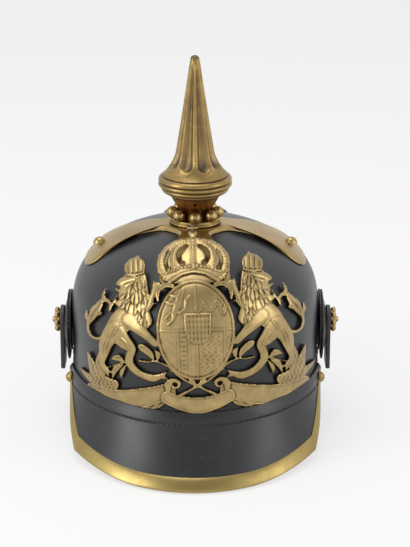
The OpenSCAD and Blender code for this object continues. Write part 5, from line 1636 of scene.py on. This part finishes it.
def pressed_at(at, rise):
    """Points of the plate over points of its drawing, this many millimetres over its back."""
    turned_x = at[:, 0] * math.cos(plate_tilt) - at[:, 1] * math.sin(plate_tilt) + shield_middle
    turned_y = at[:, 0] * math.sin(plate_tilt) + at[:, 1] * math.cos(plate_tilt)
    middle = skull_at(np.array(0.0), shield_z * MM) / MM
    upward = np.array([0, math.sin(sight_tilt), math.cos(sight_tilt)])
    toward = np.array([0, -math.cos(sight_tilt), math.sin(sight_tilt)])
    near = np.full(len(at), float(sight_reach[0]))
    far = np.full(len(at), float(sight_reach[1]))

    def on_sight(depth):
        spread = 1 - depth / sight_distance
        flat = np.stack((turned_x, 0 * turned_x, 0 * turned_x), axis=1) + turned_y[:, None] * upward
        return middle + spread[:, None] * flat + depth[:, None] * toward

    for _ in range(26):
        depth = (near + far) / 2
        point = on_sight(depth)
        grown = np.full(len(at), 1.0)
        for _ in range(3):
            grown = stand_off(point[:, 2], grown) + rise
        level = skull_level(point[:, 2] * MM, grown * MM)
        wide, long = skull_half_width / MM + grown, skull_half_length / MM + grown
        outside = np.hypot(point[:, 0] / wide, point[:, 1] / long) > level
        near = np.where(outside, depth, near)
        far = np.where(outside, far, depth)
    return on_sight((near + far) / 2) * MM


plate = added(bpy.ops.mesh.primitive_grid_add,
              x_subdivisions=drawing_columns - 1, y_subdivisions=drawing_rows - 1, size=1)
plate.name = "helmet_plate_brass"
grid_y, grid_x = np.mgrid[0:drawing_rows, 0:drawing_columns]
drawn = np.stack((grid_x.ravel(), grid_y.ravel()), axis=1) * plate_cell + (drawing_left, drawing_low)
brass_there = sheet_field(drawn)
corner_ids = np.empty(len(plate.data.polygons) * 4, int)
plate.data.polygons.foreach_get("vertices", corner_ids)
corner_ids = corner_ids.reshape(-1, 4)
kept = brass_there[corner_ids].mean(axis=1) > 0
on_kept = np.zeros(len(drawn), bool)
on_kept[corner_ids[kept]] = True
on_gone = np.zeros(len(drawn), bool)
on_gone[corner_ids[~kept]] = True
edge_points = on_kept & on_gone
relief_there = np.zeros(len(drawn))
relief_there[on_kept] = plate_relief_at(drawn[on_kept])
relief_map = relief_there.reshape(drawing_rows, drawing_columns)
around_map = np.mean([np.roll(relief_map, shift, (0, 1)) for shift in
                      ((2, 0), (-2, 0), (0, 2), (0, -2), (2, 2), (-2, 2), (2, -2), (-2, -2))], axis=0)
sunk_map = np.clip((around_map - relief_map) / 0.3, 0, 1)
for _ in range(2):
    here = drawn[edge_points]
    value = sheet_field(here)
    step = 0.05
    slope = np.stack([(sheet_field(here + shift) - value) / step for shift in ((step, 0), (0, step))], axis=1)
    move = value[:, None] * slope / np.maximum((slope ** 2).sum(axis=1, keepdims=True), 0.25)
    drawn[edge_points] = here - np.clip(move, -0.6 * plate_cell, 0.6 * plate_cell)
put_points(plate, np.column_stack((drawn, 0 * drawn[:, 0])))
only(plate)
bpy.ops.object.mode_set(mode="EDIT")
bpy.ops.mesh.select_mode(type="FACE")
bpy.ops.mesh.select_all(action="DESELECT")
bpy.ops.object.mode_set(mode="OBJECT")
plate.data.polygons.foreach_set("select", ~kept)
bpy.ops.object.mode_set(mode="EDIT")
bpy.ops.mesh.delete(type="FACE")
bpy.ops.mesh.select_mode(type="VERT")
bpy.ops.mesh.select_all(action="SELECT")
bpy.ops.mesh.remove_doubles(threshold=0.02)
bpy.ops.object.mode_set(mode="OBJECT")
back_count = len(plate.data.vertices)
edited((bpy.ops.mesh.extrude_region_move, {"TRANSFORM_OT_translate": {"value": (0, 0, 1)}}))
drawn = points_of(plate)[:, :2]
front = np.arange(len(drawn)) >= back_count
inwards = sheet_field(drawn[front])
rounding = 0.6 + 0.4 * np.sqrt(np.clip(inwards / 0.6, 0, 1))
rise = np.zeros(len(drawn))
rise[front] = plate_sheet * rounding + plate_relief_at(drawn[front])
put_points(plate, pressed_at(drawn, rise))
cells = np.round((drawn - (drawing_left, drawing_low)) / plate_cell).astype(int)
sunk = sunk_map[cells[:, 1].clip(0, drawing_rows - 1), cells[:, 0].clip(0, drawing_columns - 1)]
mark_hollows(plate, np.where(front, sunk, 0.3))
tidy_mesh(plate)
smooth(plate, 50)
fit(plate, "helmet", plate_brass, "brass", "helmet_plate")


# Sides
# Each side carries a thin leather disc against the skull, a black cockade of pressed metal that can turn on
# its post, and the end of the chin strap under a brass rosette, whose post is screwed through the skull.
pivot_z = 72.5 * MM
backing_r = 22 * MM
backing_t = 1.4 * MM
side_post_r = 2.2 * MM
cockade_r = 25.2 * MM
cockade_drop = 3.6 * MM
cockade_t = 1.2 * MM
cockade_dish = 2.4 * MM
cockade_teeth = 60
tooth_depth = 0.8 * MM
tab_width = 21 * MM
tab_drop = 35.3 * MM
tab_t = 2.9 * MM
tab_hole_r = 1.6 * MM
tab_corner_r = 3 * MM
rosette_r = 9.3 * MM
rosette_t = 6 * MM
petals = 8
petal_r = 2.55 * MM
side_gap = 0.3 * MM
wall_x = float(skull_at(np.array(math.pi / 2), pivot_z)[0])
backing_x = wall_x + 0.2 * MM
cockade_x = backing_x + backing_t + side_gap
tab_x = cockade_x + cockade_t + cockade_dish + side_gap
rosette_x = tab_x + tab_t + side_gap
inner_post = 11.6 * MM

black_paint, paint_tree, paint_shader, paint_wear = speckled(
    "black_paint", 240.0, 6.0, (0.007, 0.007, 0.008, 1), (0.02, 0.02, 0.022, 1), 0.5)
paint_rough = add_node(paint_tree, "ShaderNodeMapRange", {"Value": paint_wear, "To Min": 0.32, "To Max": 0.6})
paint_tree.links.new(paint_rough.outputs[0], paint_shader.inputs["Roughness"])
strap_leather = hide_material("strap_leather", (0.035, 0.031, 0.027, 1), (0.07, 0.062, 0.052, 1),
                              (0.14, 0.125, 0.1, 1), 0.42, 0.66, 1.2 * MM, 0.05 * MM, 0.8)


def at_side(x, z):
    """A place on the right side, whose z axis points out to the right and whose x axis points down."""
    return Matrix.Translation((x, 0, z)) @ Matrix.Rotation(math.pi / 2, 4, "Y")


def on_both_sides(piece, name, body, material, slot, node, degrees=40):
    """Finishes a piece of the right side, and makes its mirrored copy for the left."""
    smooth(piece, degrees)
    twin = piece.copy()
    twin.data = piece.data.copy()
    bpy.context.scene.collection.objects.link(twin)
    twin.data.transform(Matrix.Scale(-1, 4, (1, 0, 0)))
    twin.data.flip_normals()
    for side, made in (("right", piece), ("left", twin)):
        made.name = side + "_" + name
        fit(made, body.replace("side", side), material, slot, side + "_" + node)


edge_r = 0.35 * MM
post_hole_r = side_post_r + 0.1 * MM
disc = turned("backing_disc", [(post_hole_r, 0), (backing_r - edge_r, 0)]
              + arc(backing_r - edge_r, edge_r, edge_r, -80, 0, 4)
              + arc(backing_r - edge_r, backing_t - edge_r, edge_r, 0, 80, 4)
              + [(backing_r - edge_r, backing_t), (post_hole_r, backing_t), (post_hole_r, 0)])
disc.data.transform(at_side(backing_x, pivot_z))
on_both_sides(disc, "backing_disc_leather", "helmet", black_leather, "black_leather", "backing_disc")

cockade_hole_r = side_post_r + cockade_drop + 0.1 * MM
dished = [(cockade_hole_r, cockade_dish), (cockade_r * 0.48, cockade_dish),
          (cockade_r * 0.62, cockade_dish * 0.72), (cockade_r * 0.78, cockade_dish * 0.1),
          (cockade_r - 2.6 * MM, 0)]
lifted = [(cockade_r - 0.9 * MM, cockade_t), (cockade_r - 2.2 * MM, cockade_t * 0.86),
          (cockade_r - 3.0 * MM, cockade_t * 1.1), (cockade_r * 0.78, cockade_t * 1.1 + cockade_dish * 0.12),
          (cockade_r * 0.62, cockade_t + cockade_dish * 0.72), (cockade_r * 0.48, cockade_t + cockade_dish),
          (cockade_hole_r, cockade_t + cockade_dish), (cockade_hole_r, cockade_dish)]
cockade = turned("cockade", dished + [(cockade_r - 0.1 * MM, 0), (cockade_r, cockade_t * 0.35),
                                      (cockade_r - 0.1 * MM, cockade_t * 0.75)] + lifted, cockade_teeth * 4)
for point in cockade.data.vertices:
    r = math.hypot(point.co.x, point.co.y)
    turn = math.atan2(point.co.y, point.co.x)
    notch = 0.5 - 0.5 * math.cos(turn * cockade_teeth)
    notch *= max(0, min(1, (r - cockade_r + 2.4 * MM) / (1.4 * MM)))
    point.co.x *= 1 - tooth_depth * notch / r
    point.co.y *= 1 - tooth_depth * notch / r
cockade.data.transform(at_side(cockade_x, pivot_z - cockade_drop))
on_both_sides(cockade, "cockade_metal", "side_cockade", black_paint, "black_paint", "cockade")

half_width = tab_width / 2
corner_x = tab_drop - tab_corner_r
corner_across = half_width - tab_corner_r
outline = [(-half_width * math.cos(t), half_width * math.sin(t)) for t in np.radians(np.linspace(0, 90, 16))]
outline += [(corner_x + tab_corner_r * math.sin(t), corner_across + tab_corner_r * math.cos(t))
            for t in np.radians(np.linspace(0, 90, 7))]
outline += [(x, -y) for x, y in outline[::-1] if y > 1e-9]
tab = added(bpy.ops.mesh.primitive_circle_add, vertices=len(outline), radius=half_width, fill_type="NGON")
put_points(tab, np.column_stack((outline, np.zeros(len(outline)))))
only(tab)
edited((bpy.ops.mesh.extrude_region_move, {"TRANSFORM_OT_translate": {"value": (0, 0, tab_t)}}))
tidy_mesh(tab)
softened = tab.modifiers.new("softened", "BEVEL")
softened.width = 0.5 * MM
softened.segments = 3
softened.limit_method = "ANGLE"
softened.angle_limit = math.radians(50)
only(tab)
bpy.ops.object.modifier_apply(modifier=softened.name)
for hole_r, hole_x in ((post_hole_r, 0), (tab_hole_r, tab_drop - tab_width * 0.3)):
    cut(tab, added(bpy.ops.mesh.primitive_cylinder_add, vertices=32, radius=hole_r, depth=tab_t * 4,
                   location=(hole_x, 0, 0)))
tab.data.transform(at_side(tab_x, pivot_z))
on_both_sides(tab, "strap_end_leather", "side_strap_end", strap_leather, "strap_leather", "strap_end")

petal = added(bpy.ops.mesh.primitive_uv_sphere_add, segments=20, ring_count=12, radius=petal_r)
for point in petal.data.vertices:
    point.co.z *= 0.75
petal_ring = copied(petal, round_axis(petals, (rosette_r - 2.5 * MM, 0, rosette_t * 0.34)))
centre = [(rosette_r * out, rosette_t * up) for out, up in (
    (0.8, 0.3), (0.62, 0.42), (0.56, 0.4), (0.5, 0.56), (0.36, 0.68),
    (0.27, 0.66), (0.24, 0.78), (0.17, 0.94), (0, 1))]
flower = turned("flower", [(0, 0), (rosette_r * 0.8, 0), (rosette_r * 0.84, 0.5 * MM)] + centre, 48)
post_end = wall_x - rosette_x - inner_post
post = turned("post", [(0, post_end), (side_post_r - 0.4 * MM, post_end), (side_post_r, post_end + 0.5 * MM),
                       (side_post_r, 0.5 * MM), (0, 0.5 * MM)], 32)
rosette = joined("rosette", [flower, post] + petal_ring)
rosette.data.transform(at_side(rosette_x, pivot_z))
on_both_sides(rosette, "rosette_brass", "helmet", base_brass, "brass", "rosette")


# Fasteners inside
# The nuts, washers, posts and the clamp ring are plain turned brass and leather, and stay as they were drawn.
for node in ("trim_stud_washers", "spine_screw_nuts", "base_stud_nuts", "front_arm_screw", "base_clamp_ring",
             "plate_posts", "plate_post_nuts", "plate_post_washers", "left_post_washer", "left_post_nut",
             "right_post_washer", "right_post_nut"):
    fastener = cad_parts[node]
    fastener.data.materials.clear()
    fastener.data.materials.append(tan_leather if node == "plate_post_washers" else base_brass)
